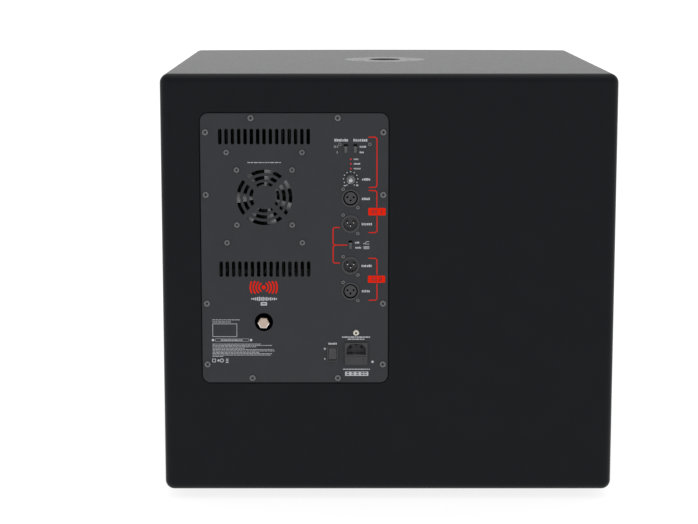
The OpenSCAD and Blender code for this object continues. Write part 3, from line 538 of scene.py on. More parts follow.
def cut(piece, *cutters):
    """Take closed cutters, each a bmesh with its placing, out of a piece."""
    bpy.context.view_layer.update()
    tools = []
    for bm, place in cutters:
        weld(bm)
        tool = add_object("cutter", to_mesh(bm, "cutter", place))
        modifier = piece.modifiers.new("cut", "BOOLEAN")
        modifier.operation = "DIFFERENCE"
        modifier.solver = "EXACT"
        modifier.object = tool
        tools.append(tool)
    settle(piece)
    for tool in tools:
        bpy.data.objects.remove(tool)


def settle(piece):
    """Apply every modifier to the mesh."""
    bpy.context.view_layer.update()
    finished = piece.evaluated_get(bpy.context.evaluated_depsgraph_get())
    mesh = bpy.data.meshes.new_from_object(finished)
    piece.modifiers.clear()
    piece.data = mesh


def even_normals(piece, angle=30.0):
    """Let the large flat faces rule the shading of the small ones that round their edges."""
    mark_edges(piece.data, angle)
    modifier = piece.modifiers.new("even_normals", "WEIGHTED_NORMAL")
    modifier.keep_sharp = True
    settle(piece)


# ---------- cabinet
PANEL_GAP = 1.3
REBATE = 4.0
REBATE_EDGE = 0.5
BORE_R = 23.5
FLANGE_R = 59.5


def cabinet_plan(grow, z):
    """Plan of the cabinet's core, whose corners lie one edge radius in, grown outwards."""
    core_x = HALF_W - EDGE_R
    core_r = BOW_R - EDGE_R
    swing = math.degrees(math.asin(core_x / core_r))
    front_y = BOW_Y - math.sqrt(core_r**2 - core_x**2)
    rear_y = REAR_Y - EDGE_R
    corners = ((core_x, rear_y, 0, 90), (-core_x, rear_y, 90, 180), (-core_x, front_y, 180, 270 - swing),
               (core_x, front_y, 270 + swing, 360))
    arcs = [[(x, y, grow, math.radians(a + (b - a) * i / 8)) for i in range(9)] for x, y, a, b in corners]
    swept = [math.radians(270 - swing + 2 * swing * i / 40) for i in range(1, 40)]
    bowed = [(0.0, BOW_Y, core_r + grow, a) for a in swept]
    points = arcs[0] + arcs[1] + arcs[2] + bowed + arcs[3]
    return [polar((MID_X + x, y), r, a, z) for x, y, r, a in points]


def make_cabinet():
    """One seamless coated shell: the five boards with their joints filled and edges rounded."""
    bm = bmesh.new()
    rings = []
    for z, start in ((CAB_LOW.z + EDGE_R, -90), (CAB_HIGH.z - EDGE_R, 0)):
        for i in range(9):
            a = math.radians(start + 90 * i / 8)
            rings.append(cabinet_plan(EDGE_R * math.cos(a), z + EDGE_R * math.sin(a)))
    loft(bm, rings)
    shell = make_piece("cabinet_shell", bm, "cabinet_coating")

    inside = bmesh.new()
    depth = REAR_Y - BOARD + 400.0
    middle = (MID_X, REAR_Y - BOARD - depth / 2)
    rounded_block(inside, 2 * INNER_X, depth, 0.5, INNER_LOW, INNER_HIGH, middle, 2)
    cutters = [(inside, MODEL)]
    rebate = bmesh.new()
    wide = PANEL_GAP + REBATE_EDGE
    steps = ((PANEL_GAP, -REBATE), (PANEL_GAP, -REBATE_EDGE), (wide, 0.0), (wide + 1.0, 1.0))
    loft(rebate, [rounded_outline(PANEL_W + 2 * g, PANEL_H + 2 * g, 11.0 + g, w) for g, w in steps])
    opening = bmesh.new()
    rounded_block(opening, 217.0, 328.0, 4.0, -BOARD - 1.0, -REBATE + 1.0)
    cutters += [(rebate, PANEL), (opening, PANEL)]
    low, high = box_of("handle_right")
    centre_y, centre_z = (low.y + high.y) / 2, (low.z + high.z) / 2
    for side in (0.0, math.pi):
        wall = Matrix.Translation(Vector((MID_X, centre_y, centre_z)) * MM) @ Matrix.Rotation(side, 4, "Z")
        wall = wall @ Matrix.Rotation(math.pi / 2, 4, "Z") @ UPRIGHT @ MODEL
        pocket = bmesh.new()
        rounded_block(pocket, 197.0, 97.0, 18.5, HALF_W - BOARD - 1.0, HALF_W - 2.0)
        seat = bmesh.new()
        rounded_block(seat, 221.0, 121.0, 22.5, HALF_W - 3.0, HALF_W + 1.0)
        cutters += [(pocket, wall), (seat, wall)]
    low, high = box_of("pole_socket")
    pole = ((low.x + high.x) / 2, (low.y + high.y) / 2)
    top = CAB_HIGH.z
    bore = bmesh.new()
    lathe(bore, [(0, top - 20), (BORE_R, top - 20), (BORE_R, top - 2), (0, top - 2)], 64, pole)
    dish = bmesh.new()
    lathe(dish, [(0, top - 2.5), (FLANGE_R, top - 2.5), (FLANGE_R, top - 0.4), (FLANGE_R + 0.4, top),
                 (FLANGE_R + 1.4, top + 1), (0, top + 1)], 96, pole)
    cutters += [(bore, MODEL), (dish, MODEL)]
    cut(shell, *cutters)
    even_normals(shell)
    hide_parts("cabinet_top", "cabinet_bottom", "cabinet_left", "cabinet_right", "cabinet_rear")


# ---------- grille
SHEET_T = 1.5
GRILLE_R = BOW_R - 3.0
GRILLE_SCREWS = four((MID_X, MID_Z), 271.0, 100.0)
GRILLE_SCREWS += [(MID_X + s * 40.0, z) for s in (-1, 1) for z in (INNER_LOW + 9.0, INNER_HIGH - 9.0)]


def close_border(bm, shared, low, high):
    """Fill the margin between the outermost cells and the sheet's rectangle with one row of quads."""
    beside = {}
    for edge in bm.edges:
        if len(edge.link_faces) == 1 and edge.verts[0] in shared and edge.verts[1] in shared:
            beside.setdefault(edge.verts[0], []).append(edge.verts[1])
            beside.setdefault(edge.verts[1], []).append(edge.verts[0])
    line = [next(iter(beside))]
    while len(line) < len(beside):
        line.append(next(v for v in beside[line[-1]] if len(line) == 1 or v != line[-2]))
    corners = [(low.x, low.z), (high.x, low.z), (high.x, high.z), (low.x, high.z)]

    def nearest(place):
        return min(range(len(line)), key=lambda i: math.dist(line[i].co.xz, place))

    start = nearest(corners[0])
    line = line[start:] + line[:start]
    if nearest(corners[1]) > nearest(corners[3]):
        line = line[:1] + line[:0:-1]
    turns = [nearest(place) for place in corners]
    outer = []
    for i, vertex in enumerate(line):
        side = sum(i >= turn for turn in turns) - 1
        x, z = vertex.co.x, vertex.co.z
        place = ((x, low.z), (high.x, z), (x, high.z), (low.x, z))[side]
        if i in turns:
            place = corners[turns.index(i)]
        outer.append(bm.verts.new((place[0], 0.0, place[1])))
    for i in range(len(line)):
        n = (i + 1) % len(line)
        bm.faces.new((line[i], line[n], outer[n], outer[i]))


def make_grille():
    """Bowed steel sheet punched with staggered hexagons inside a solid margin."""
    low, high = box_of("grille_panel")
    pitch, hole, margin = 9.0, 7.2, 9.0
    cell_r = pitch / math.sqrt(3)
    hole_r = hole / math.sqrt(3)
    row_step = 1.5 * cell_r
    rows = int((high.z - low.z - 2 * margin - 2 * cell_r) / row_step) + 1
    columns = int((high.x - low.x - 2 * margin - pitch / 2) / pitch)
    # A cell's corners in half pitches across and half cell radii up, so that neighbours share them exactly
    corners = [(1, 1), (0, 2), (-1, 1), (-1, -1), (0, -2), (1, -1)]
    start_x = MID_X - ((columns - 1) / 2 + 0.25) * pitch
    start_z = MID_Z - (rows - 1) / 2 * row_step
    bm = bmesh.new()
    known = {}

    def corner(i, k):
        if (i, k) not in known:
            known[i, k] = bm.verts.new((start_x + i * pitch / 2, 0.0, start_z + k * cell_r / 2))
        return known[i, k]

    for row in range(rows):
        for column in range(columns):
            i, k = 2 * column + row % 2, 3 * row
            x, z = start_x + i * pitch / 2, start_z + k * cell_r / 2
            outer = [corner(i + a, k + b) for a, b in corners]
            if any(math.hypot(x - a, z - b) < 9.5 for a, b in GRILLE_SCREWS):
                bm.faces.new(outer)
                continue
            inner = [bm.verts.new((x + a * hole / 2, 0.0, z + b * hole_r / 2)) for a, b in corners]
            for n in range(6):
                bm.faces.new((outer[n - 1], outer[n], inner[n], inner[n - 1]))
    close_border(bm, set(known.values()), low, high)
    bmesh.ops.recalc_face_normals(bm, faces=bm.faces[:])
    back = bmesh.ops.extrude_face_region(bm, geom=bm.faces[:], use_keep_orig=True)["geom"]
    for vertex in (g for g in back if isinstance(g, bmesh.types.BMVert)):
        vertex.co.y += SHEET_T
    for vertex in bm.verts:
        vertex.co.y = arc_y(GRILLE_R - vertex.co.y, vertex.co.x - MID_X)
    sheet = make_piece("grille_sheet", bm, "grille_steel", angle=25.0)
    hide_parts("grille_panel")


def pad(name, slot_name, size, surface, cells, crown, rough, grain):
    """Soft sheet: surface(s, t, side) gives its faces, side from 0 at the back to 1 at the front. The rim is
    rolled in by the crown and the front wanders by the roughness, both in millimetres."""
    across, up = cells
    bm = bmesh.new()

    def lean(s, t):
        edge = min(s * size[0], (1 - s) * size[0], t * size[1], (1 - t) * size[1]) / crown
        return 0.0 if edge >= 1 else 1 - math.sqrt(max(0.0, 1 - (1 - edge) ** 2))

    faces = []
    for side in (0, 1):
        sheet = []
        for i in range(across + 1):
            for k in range(up + 1):
                s, t = i / across, k / up
                point = Vector(surface(s, t, side))
                middle = Vector(surface(s, t, 0.5))
                wander = rough * (noise.noise(point * grain) * 0.5 + 0.5) * side
                inward = (middle - point).normalized()
                sheet.append(bm.verts.new(point + inward * (wander + crown * 0.5 * lean(s, t))))
        faces.append(sheet)
    step = up + 1
    for side, sheet in enumerate(faces):
        for i in range(across):
            for k in range(up):
                here = i * step + k
                quad = [sheet[here], sheet[here + step], sheet[here + step + 1], sheet[here + 1]]
                bm.faces.new(quad if side else quad[::-1])
    rim = [i * step for i in range(across + 1)]
    rim += [across * step + k for k in range(1, up + 1)]
    rim += [i * step + up for i in range(across - 1, -1, -1)]
    rim += list(range(up - 1, 0, -1))
    for a, b in zip(rim, rim[1:] + rim[:1]):
        bm.faces.new((faces[0][a], faces[0][b], faces[1][b], faces[1][a]))
    piece = make_piece(name, bm, slot_name, angle=60.0)
    return piece


def make_foam():
    low, high = box_of("grille_foam")

    def surface(s, t, side):
        x = low.x + (high.x - low.x) * s
        radius = GRILLE_R - SHEET_T - 4.0 + 3.9 * side
        return x, arc_y(radius, x - MID_X), low.z + (high.z - low.z) * t

    size = (high.x - low.x, high.z - low.z)
    foam = pad("grille_foam_sheet", "acoustic_foam", size, surface, (96, 90), 2.4, 0.35, 0.3)
    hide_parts("grille_foam")


def make_wadding():
    """Two felt pads: one on the rear wall, one on the side wall beside the amplifier's empty half."""
    low, high = box_of("wadding")
    thick = 22.0

    def rear(s, t, side):
        return low.x + (high.x - low.x) * s, high.y - thick * side, low.z + tall * t

    def side_wall(s, t, side):
        return low.x + thick * side, low.y + along * s, low.z + tall * t

    tall = high.z - low.z
    along = high.y - low.y - thick - 2.0
    first = pad("wadding_rear", "wadding_felt", (high.x - low.x, tall), rear, (70, 120), 9.0, 4.0, 0.05)
    pad("wadding_side", "wadding_felt", (along, tall), side_wall, (30, 120), 9.0, 4.0, 0.05)
    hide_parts("wadding")


# ---------- driver
def suspension(name, slot_name, node, profile, thickness):
    """Ring of cloth in 24 sectors, each bending along its own radius between the frame and the cone."""
    sectors, steps = 24, 5
    swing = math.tau / sectors
    upper = []
    lower = []
    for i, (r, w) in enumerate(profile):
        before = profile[max(i - 1, 0)]
        after = profile[min(i + 1, len(profile) - 1)]
        run = Vector((after[0] - before[0], after[1] - before[1])).normalized()
        offset = Vector((-run.y, run.x)) * thickness / 2
        upper.append((r + offset.x, w + offset.y))
        lower.append((r - offset.x, w - offset.y))
    outline = upper + lower[::-1]
    for sector in range(sectors):
        bm = bmesh.new()
        rings = []
        for k in range(steps + 1):
            a = swing * (sector + k / steps - 0.5)
            rings.append([polar((0.0, 0.0), r, a, w) for r, w in outline])
        loft(bm, rings)
        piece = make_piece(f"{name}_{sector:02d}", bm, slot_name, None, DRIVER, 50.0)
        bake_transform(piece)
        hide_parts(node)


def make_suspension():
    rolls = []
    for i in range(65):
        r = 181.2 + (212.8 - 181.2) * i / 64
        arch = abs(math.sin(math.pi * (r - 186) / 10)) if 186 < r < 206 else 0.0
        rolls.append((r, 8.5 + 4.8 * arch**0.75))
    suspension("surround_sector", "surround_cloth", "woofer_surround", rolls, 0.9)
    waves = []
    for i in range(85):
        r = 51.2 + (91.8 - 51.2) * i / 84
        outer = min(1.0, max(0.0, (89 - r) / 3))
        fade = min(outer, max(0.0, (r - 53) / 3))
        waves.append((r, -103.5 + 1.1 * outer + 1.1 * fade * math.sin(math.tau * (r - 53) / 5.6)))
    suspension("spider_sector", "spider_cloth", "woofer_spider", waves, 0.6)


# ---------- fan
def make_impeller():
    """Seven twisted, cambered blades on a hollow-faced hub."""
    bm = bmesh.new()
    hub = [(0, -4.4), (11.5, -4.4), (12.6, -3.6), (14.4, -3.5), (15.5, -4.6)]
    lathe(bm, hub + [(15.5, -19.5), (1.5, -19.5), (1.5, -26), (0, -26)], 64, FAN)
    blades, sections, chord_points = 7, 9, 9
    for blade in range(blades):
        front_edge = math.pi / 2 + math.tau * blade / blades
        rings = []
        for k in range(sections):
            share = k / (sections - 1)
            r = 14.5 + (36.7 - 14.5) * share
            pitch = math.radians(52 - 20 * share)
            chord = (1.8 + 12.0 * share**0.8) / math.cos(pitch)
            outline = []
            for surface in (1, -1):
                for i in range(chord_points):
                    c = i / (chord_points - 1) if surface == 1 else 1 - i / (chord_points - 1)
                    camber = 0.07 * chord * 4 * c * (1 - c)
                    half = 0.25 + 0.6 * math.sin(math.pi * min(c * 1.1 + 0.05, 1.0))
                    lift = camber + surface * half
                    along = (c - 1.0) * chord
                    shift = along * math.cos(pitch) - lift * math.sin(pitch)
                    w = -5.2 + along * math.sin(pitch) + lift * math.cos(pitch)
                    outline.append(polar(FAN, r, front_edge + shift / r, min(w, -4.0)))
            rings.append(outline)
        loft(bm, rings)
    # Painted light on the blades.
    impeller = make_piece("fan_blades", bm, "fan_plastic", "fan", PANEL, 50.0, [LIT_BLADES])
    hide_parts("fan_impeller")


# ---------- screws and knob
def cross_angles(half, reach):
    """Directions at which a cross of that half width and reach has its corners, and those between them."""
    corner = math.atan2(half, reach)
    quarter = [-math.pi / 4, -(corner + math.pi / 4) / 2, -corner, 0.0, corner, (corner + math.pi / 4) / 2]
    return [q + turn * math.pi / 2 for turn in range(4) for q in quarter]


def pan_head(bm, centre, radius, height, shank, spin):
    """Domed head with a tapered cross recess: material 0 on the rim, 1 on the face, 2 in the recess; the face
    and the recess are given painted shade.
    """
    half, reach = 0.11 * radius, 0.52 * radius
    angles = cross_angles(half, reach)

    def cross(scale, w):
        ring = []
        for a in angles:
            c, s = abs(math.cos(a)), abs(math.sin(a))
            big, small = max(c, s), min(c, s)
            r = reach / big if small * reach <= half * big else half / small
            ring.append((r * scale, a, w))
        return ring

    def circle(share, w):
        return [(radius * share, a, w) for a in angles]

    rings = [(cross(0.55, height * 0.25), 2), (cross(0.8, height * 0.3), 2), (cross(1.0, height), 2),
             (circle(0.6, height * 0.99), 1)]
    dome = ((0.7, 0.95), (0.87, 0.78), (0.96, 0.52), (1.0, 0.2), (1.0, 0.0), (0.45, 0.0))
    rings += [(circle(share, height * up), 0) for share, up in dome]
    rings += [([(shank, a, w) for a in angles], 0) for w in (0.0, -4.0)]
    rows = [[bm.verts.new(polar(centre, r, a + spin, w)) for r, a, w in ring] for ring, _ in rings]
    count = len(angles)
    bm.faces.new(rows[0]).material_index = 2
    bm.faces.new(rows[-1][::-1])
    for k in range(1, len(rows)):
        for i in range(count):
            j = (i + 1) % count
            face = bm.faces.new((rows[k - 1][i], rows[k - 1][j], rows[k][j], rows[k][i]))
            face.material_index = rings[k][1]


def make_screws():
    for name, node, places, radius, height, shank in (
        ("edge_screw_heads", "amp_panel_screws", EDGE_SCREWS, 4.35, 1.9, 2.0),
        ("module_screw_heads", "module_screws", SINK_SCREWS + FAN_SCREWS, 3.9, 1.9, 2.0),
        ("connector_screw_heads", "connector_screws", SMALL_SCREWS, 2.6, 1.3, 1.5),
    ):
        bm = bmesh.new()
        for place in places:
            pan_head(bm, place, radius, height, shank, random.uniform(0.0, math.pi / 2))
        # Painted shade on the heads' faces and in their recesses.
        looks = [SCREW_RIM, SCREW_FACE_SHADE, RECESS_SHADE]
        heads = make_piece(name, bm, "panel_screw_steel", place=PANEL, angle=40.0, materials=looks)
        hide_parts(node)
    bm = bmesh.new()
    pan_head(bm, GROUND, 3.8, 2.6, 2.0, 0.5)
    bmesh.ops.translate(bm, verts=bm.verts[:], vec=(0.0, 0.0, 0.8))
    lathe(bm, [(2.1, 0.02), (3.9, 0.02), (4.0, 0.15), (4.0, 0.65), (3.9, 0.8), (2.1, 0.8)], 32, GROUND)
    # Painted shade on the head's face and in its recess.
    looks = [MATERIALS["brass_screw"], BRASS_FACE_SHADE, RECESS_SHADE]
    screw = make_piece("ground_terminal", bm, "brass_screw", place=PANEL, angle=40.0, materials=looks)
    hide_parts("ground_screw")


def make_knob():
    """Fluted skirt, waisted collar with a white pointer line and a bright cap, turned down to the left at
    rest.
    """
    bm = bmesh.new()
    flutes = 18
    count = flutes * 6

    def ring(radius, w, depth):
        points = []
        for i in range(count):
            a = math.tau * i / count
            points.append(polar(LEVEL, radius - depth * max(0.0, math.cos(flutes * a)) ** 2, a, w))
        return points

    skirt = [(5.7, 0.5, 0.0), (6.0, 0.8, 0.0), (5.95, 1.4, 0.0), (5.9, 1.8, 0.45), (5.5, 7.4, 0.45)]
    collar = [(5.2, 8.1, 0.25), (4.7, 8.45, 0.0), (3.6, 8.5, 0.0)]
    loft(bm, [ring(*values) for values in skirt + collar])
    knob = make_piece("level_knob_skirt", bm, "knob_plastic", "level", PANEL, 45.0)
    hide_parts("level_knob")
    bm = bmesh.new()
    cap = [(0, 8.3), (3.3, 8.3), (3.15, 8.9), (2.95, 10.9), (2.6, 11.6), (2.0, 11.95), (0, 12.0)]
    lathe(bm, cap, 36, LEVEL)
    lathe(bm, [(0, -14.0), (1.5, -14.0), (1.5, 0.6), (0, 0.6)], 24, LEVEL)
    make_piece("level_knob_cap", bm, "knob_plastic", "level", PANEL, 45.0, [KNOB_CAP])
    bm = bmesh.new()
    angle = math.radians(240)
    strip(bm, [polar(LEVEL, r, angle) for r in (3.5, 5.3)], 1.3, 8.3, 8.62)
    make_piece("level_knob_pointer", bm, "knob_plastic", "level", PANEL, 45.0, [PRINT_WHITE])


# ---------- moulded parts with softened edges
def soften(node, width, materials=None):
    """Copy a CAD node, join its facets into whole faces and round its sharp edges a little."""
    angle = 28.0
    source = frame["nodes"][node]
    body = next(b for b, nodes in frame["record"]["behaviour"]["bodies"].items() if node in nodes)
    bm = bmesh.new()
    bm.from_mesh(source.data)
    bmesh.ops.remove_doubles(bm, verts=bm.verts[:], dist=1e-6)
    bmesh.ops.dissolve_limit(bm, angle_limit=math.radians(0.5), verts=bm.verts[:], edges=bm.edges[:])
    bm.transform(Matrix.Scale(1 / MM, 4))
    piece = make_piece(node + "_moulded", bm, source["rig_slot"], body, MODEL, angle, materials, False)
    bevel = piece.modifiers.new("edges", "BEVEL")
    bevel.width = width * MM
    bevel.segments = 2
    bevel.limit_method = "ANGLE"
    bevel.angle_limit = math.radians(angle)
    bevel.use_clamp_overlap = True
    bevel.miter_outer = "MITER_ARC"
    settle(piece)
    even_normals(piece, 50.0)
    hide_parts(node)
    return piece


def repaint(piece, material, where):
    """Give another finish to the faces whose middle, in the panel's axes, passes the test; some of these
    finishes are painted light and shade.
    """
    piece.data.materials.append(material)
    index = len(piece.data.materials) - 1
    to_panel = PANEL.inverted()
    for face in piece.data.polygons:
        if where(to_panel @ face.center):
            face.material_index = index


def make_fine_parts():
    """Bolt, connectors, inlet and switches, with a finish for each kind of face, and painted light and shade
    on some faces.
    """

    def in_plug_well(c):
        return -IEC_DEEP < c.z < -0.4 and c.y > IEC[1] - 2.0 and abs(c.x - IEC[0]) < 12.7

    def in_switch_hole(c):
        return c.z < 1.3 and abs(c.x - POWER[0]) < 5.8 and abs(c.y - POWER[1]) < 8.9

    bolt = soften("transformer_bolt", 0.12)
    # Painted highlight on the hex head's lower chamfers.
    repaint(bolt, BOLT_EDGE_HIGHLIGHT, lambda c: -1.5 < c.z < -0.72 and distance(c, COIL) > 5.0 and c.y < COIL[1])
    # Painted shade on the faces of the cup round the bolt.
    repaint(frame["nodes"]["amp_panel"], CUP_SHADE, lambda c: c.z < -0.2 and distance(c, COIL) < CUP_R)
    shells = soften("xlr_shells", 0.3)
    # Painted light inside the output sockets.
    repaint(shells, CAVITY_LIGHT, lambda c: c.z < -0.4 and any(distance(c, place) < OUTPUT_R for place in OUTPUTS))
    repaint(shells, SHELL_FACE, lambda c: c.z > 0.2)
    pins = soften("xlr_output_pins", 0.15)
    # Painted shade on the pins' sides deep in the sockets.
    repaint(pins, PIN_SIDE_SHADE, lambda c: c.z < -3.2)
    soften("xlr_input_inserts", 0.2)
    inlet = soften("iec_inlet", 0.35)
    # Painted light inside the inlet's well.
    repaint(inlet, CAVITY_LIGHT, in_plug_well)
    repaint(inlet, FRONT_PLASTIC, lambda c: c.z > 0.0)
    # Painted shade on the inlet's pins.
    soften("iec_pins", 0.2, [SHADED_PINS])
    soften("fuse_drawer", 0.25, [FRONT_PLASTIC])
    switch = soften("power_switch_frame", 0.25, [FRONT_PLASTIC])
    # Painted light on the walls of the switch hole.
    repaint(switch, SWITCH_WALL_LIGHT, in_switch_hole)
    soften("power_rocker", 0.3)
    for slider, (_, middle) in zip(("polarity_slider", "contour_slider", "link_slider"), SWITCHES):
        piece = soften(slider, 0.12)
        repaint(piece, SLIDER_LOW, lambda c: c.y < middle - 0.8)
        # Painted shadow on the upper end of each slider.
        repaint(piece, SLIDER_SHADOW, lambda c: c.y > middle + 2.8)


# ---------- print on the panel
PRINT_LOW, PRINT_HIGH = -0.02, 0.05


def strip(bm, points, width, w0=PRINT_LOW, w1=PRINT_HIGH):
    """Flat band along a line of points, mitred where it turns."""
    points = [Vector(p) for p in points]
    left, right = [], []
    for i, point in enumerate(points):
        before = (point - points[i - 1]).normalized() if i else None
        after = (points[i + 1] - point).normalized() if i < len(points) - 1 else None
        run = (before or after) + (after or before)
        run.normalize()
        side = Vector((-run.y, run.x)) * width / 2
        if before and after:
            side /= max(0.3, side.normalized().dot(Vector((-before.y, before.x))))
        left.append(point + side)
        right.append(point - side)
    loft(bm, [[(p.x, p.y, w) for p in left + right[::-1]] for w in (w0, w1)])


def box(bm, u0, v0, u1, v1, w0=PRINT_LOW, w1=PRINT_HIGH):
    loft(bm, [[(u0, v0, w), (u1, v0, w), (u1, v1, w), (u0, v1, w)] for w in (w0, w1)])


def outline_box(bm, u0, v0, u1, v1, line):
    for v in (v0, v1 - line):
        box(bm, u0, v, u1, v + line)
    for u in (u0, u1 - line):
        box(bm, u, v0 + line, u + line, v1 - line)


def ring_print(bm, centre, radius, line, start, end):
    """Arc of a ring between two angles in degrees."""
    angles = [math.radians(start + (end - start) * i / 32) for i in range(33)]
    strip(bm, [polar(centre, radius, a) for a in angles], line)


def whole_ring(bm, centre, radius, line):
    """Ring made of two halves, so that each stays a simple band."""
    ring_print(bm, centre, radius, line, 0.0, 180.0)
    ring_print(bm, centre, radius, line, 180.0, 360.0)


def disc(bm, centre, radius, steps=20):
    turns = [math.tau * i / steps for i in range(steps)]
    loft(bm, [[polar(centre, radius, a, w) for a in turns] for w in (PRINT_LOW, PRINT_HIGH)])


def field(bm, width, height, radius, centre, steps=4):
    rounded_block(bm, width, height, radius, PRINT_LOW, PRINT_HIGH, centre, steps)


def blocks(bm, centre, width, height):
    """A word shown as a row of plain upright blocks, which spell nothing."""
    count = max(2, round(width / (0.72 * height)))
    step = width / count
    for i in range(count):
        u = centre[0] - width / 2 + step * (i + 0.12)
        v = centre[1] - height / 2
        tall = height * random.choice((0.82, 0.92, 1.0))
        wide = step * random.choice((0.62, 0.72, 0.8))
        box(bm, u, v, u + wide, v + tall)


def text_line(bm, u0, u1, v, height, gap=0.5):
    """A line of small print: bars of uneven length with gaps between them."""
    u = u0
    while u < u1 - 1.0:
        end = min(u + random.uniform(1.6, 5.2), u1)
        box(bm, u, v - height / 2, end, v + height / 2)
        u = end + gap


SEGMENTS = {
    "a": ((0, 1), (1, 1)), "b": ((1, 1), (1, 0.5)), "c": ((1, 0.5), (1, 0)), "d": ((0, 0), (1, 0)),
    "e": ((0, 0.5), (0, 0)), "f": ((0, 1), (0, 0.5)), "g": ((0, 0.5), (1, 0.5)),
}
DIGITS = {"0": "abcdef", "1": "bc", "2": "abged", "8": "abcdefg"}


def digits(bm, number, centre, height, line, w0=PRINT_LOW, w1=PRINT_HIGH):
    """Numbers drawn with plain straight strokes."""
    wide = 0.5 * height
    step = wide + 2.2 * line
    for i, digit in enumerate(number):
        u = centre[0] + (i - (len(number) - 1) / 2) * step - wide / 2
        v = centre[1] - height / 2
        for key in DIGITS[digit]:
            (a, b), (c, d) = SEGMENTS[key]
            ends = [(u + a * wide, v + b * height), (u + c * wide, v + d * height)]
            run = (Vector(ends[1]) - Vector(ends[0])).normalized() * line / 2
            strip(bm, [Vector(ends[0]) - run, Vector(ends[1]) + run], line, w0, w1)


def red_print():
    bm = bmesh.new()
    line = 1.15
    for points in (
        [(95.6, 145.9), (104.2, 145.9), (106.4, 143.7), (106.4, 82.9), (104.6, 81.0), (95.9, 80.9)],
        [(95.9, 76.9), (104.4, 76.7), (106.4, 74.8), (106.4, 55.0)],
        [(106.7, 43.6), (106.7, 24.2), (104.7, 22.1), (95.9, 21.9)],
        [(58.5, 28.6), (51.6, 28.6), (49.8, 26.8), (49.8, 7.6), (51.8, 5.6), (68.2, 5.6)],
        [(51.8, 5.2), (49.8, 3.2), (49.8, -16.2), (51.6, -18.0), (58.5, -18.0)],
        [(95.9, -11.7), (104.7, -11.9), (106.7, -13.9), (106.7, -33.6)],
        [(106.8, -45.0), (106.8, -65.0), (105.0, -66.9), (95.9, -67.1)],
    ):
        strip(bm, points, line)
    field(bm, 22.4, 9.6, 1.0, (106.6, 49.3))
    field(bm, 22.4, 9.2, 1.0, (106.2, -39.3))
    # Emblem: sound spreading both ways from a dot
    middle = (-40.6, -50.0)
    disc(bm, middle, 2.6, 28)
    for radius, half, width in ((6.0, 62, 1.9), (9.8, 50, 1.9), (13.6, 37, 1.9), (17.4, 27, 1.9)):
        for facing in (0, 180):
            ring_print(bm, middle, radius, width, facing - half, facing + half)
    make_piece("panel_print_red", bm, "panel_print_red", place=PANEL, angle=30.0)


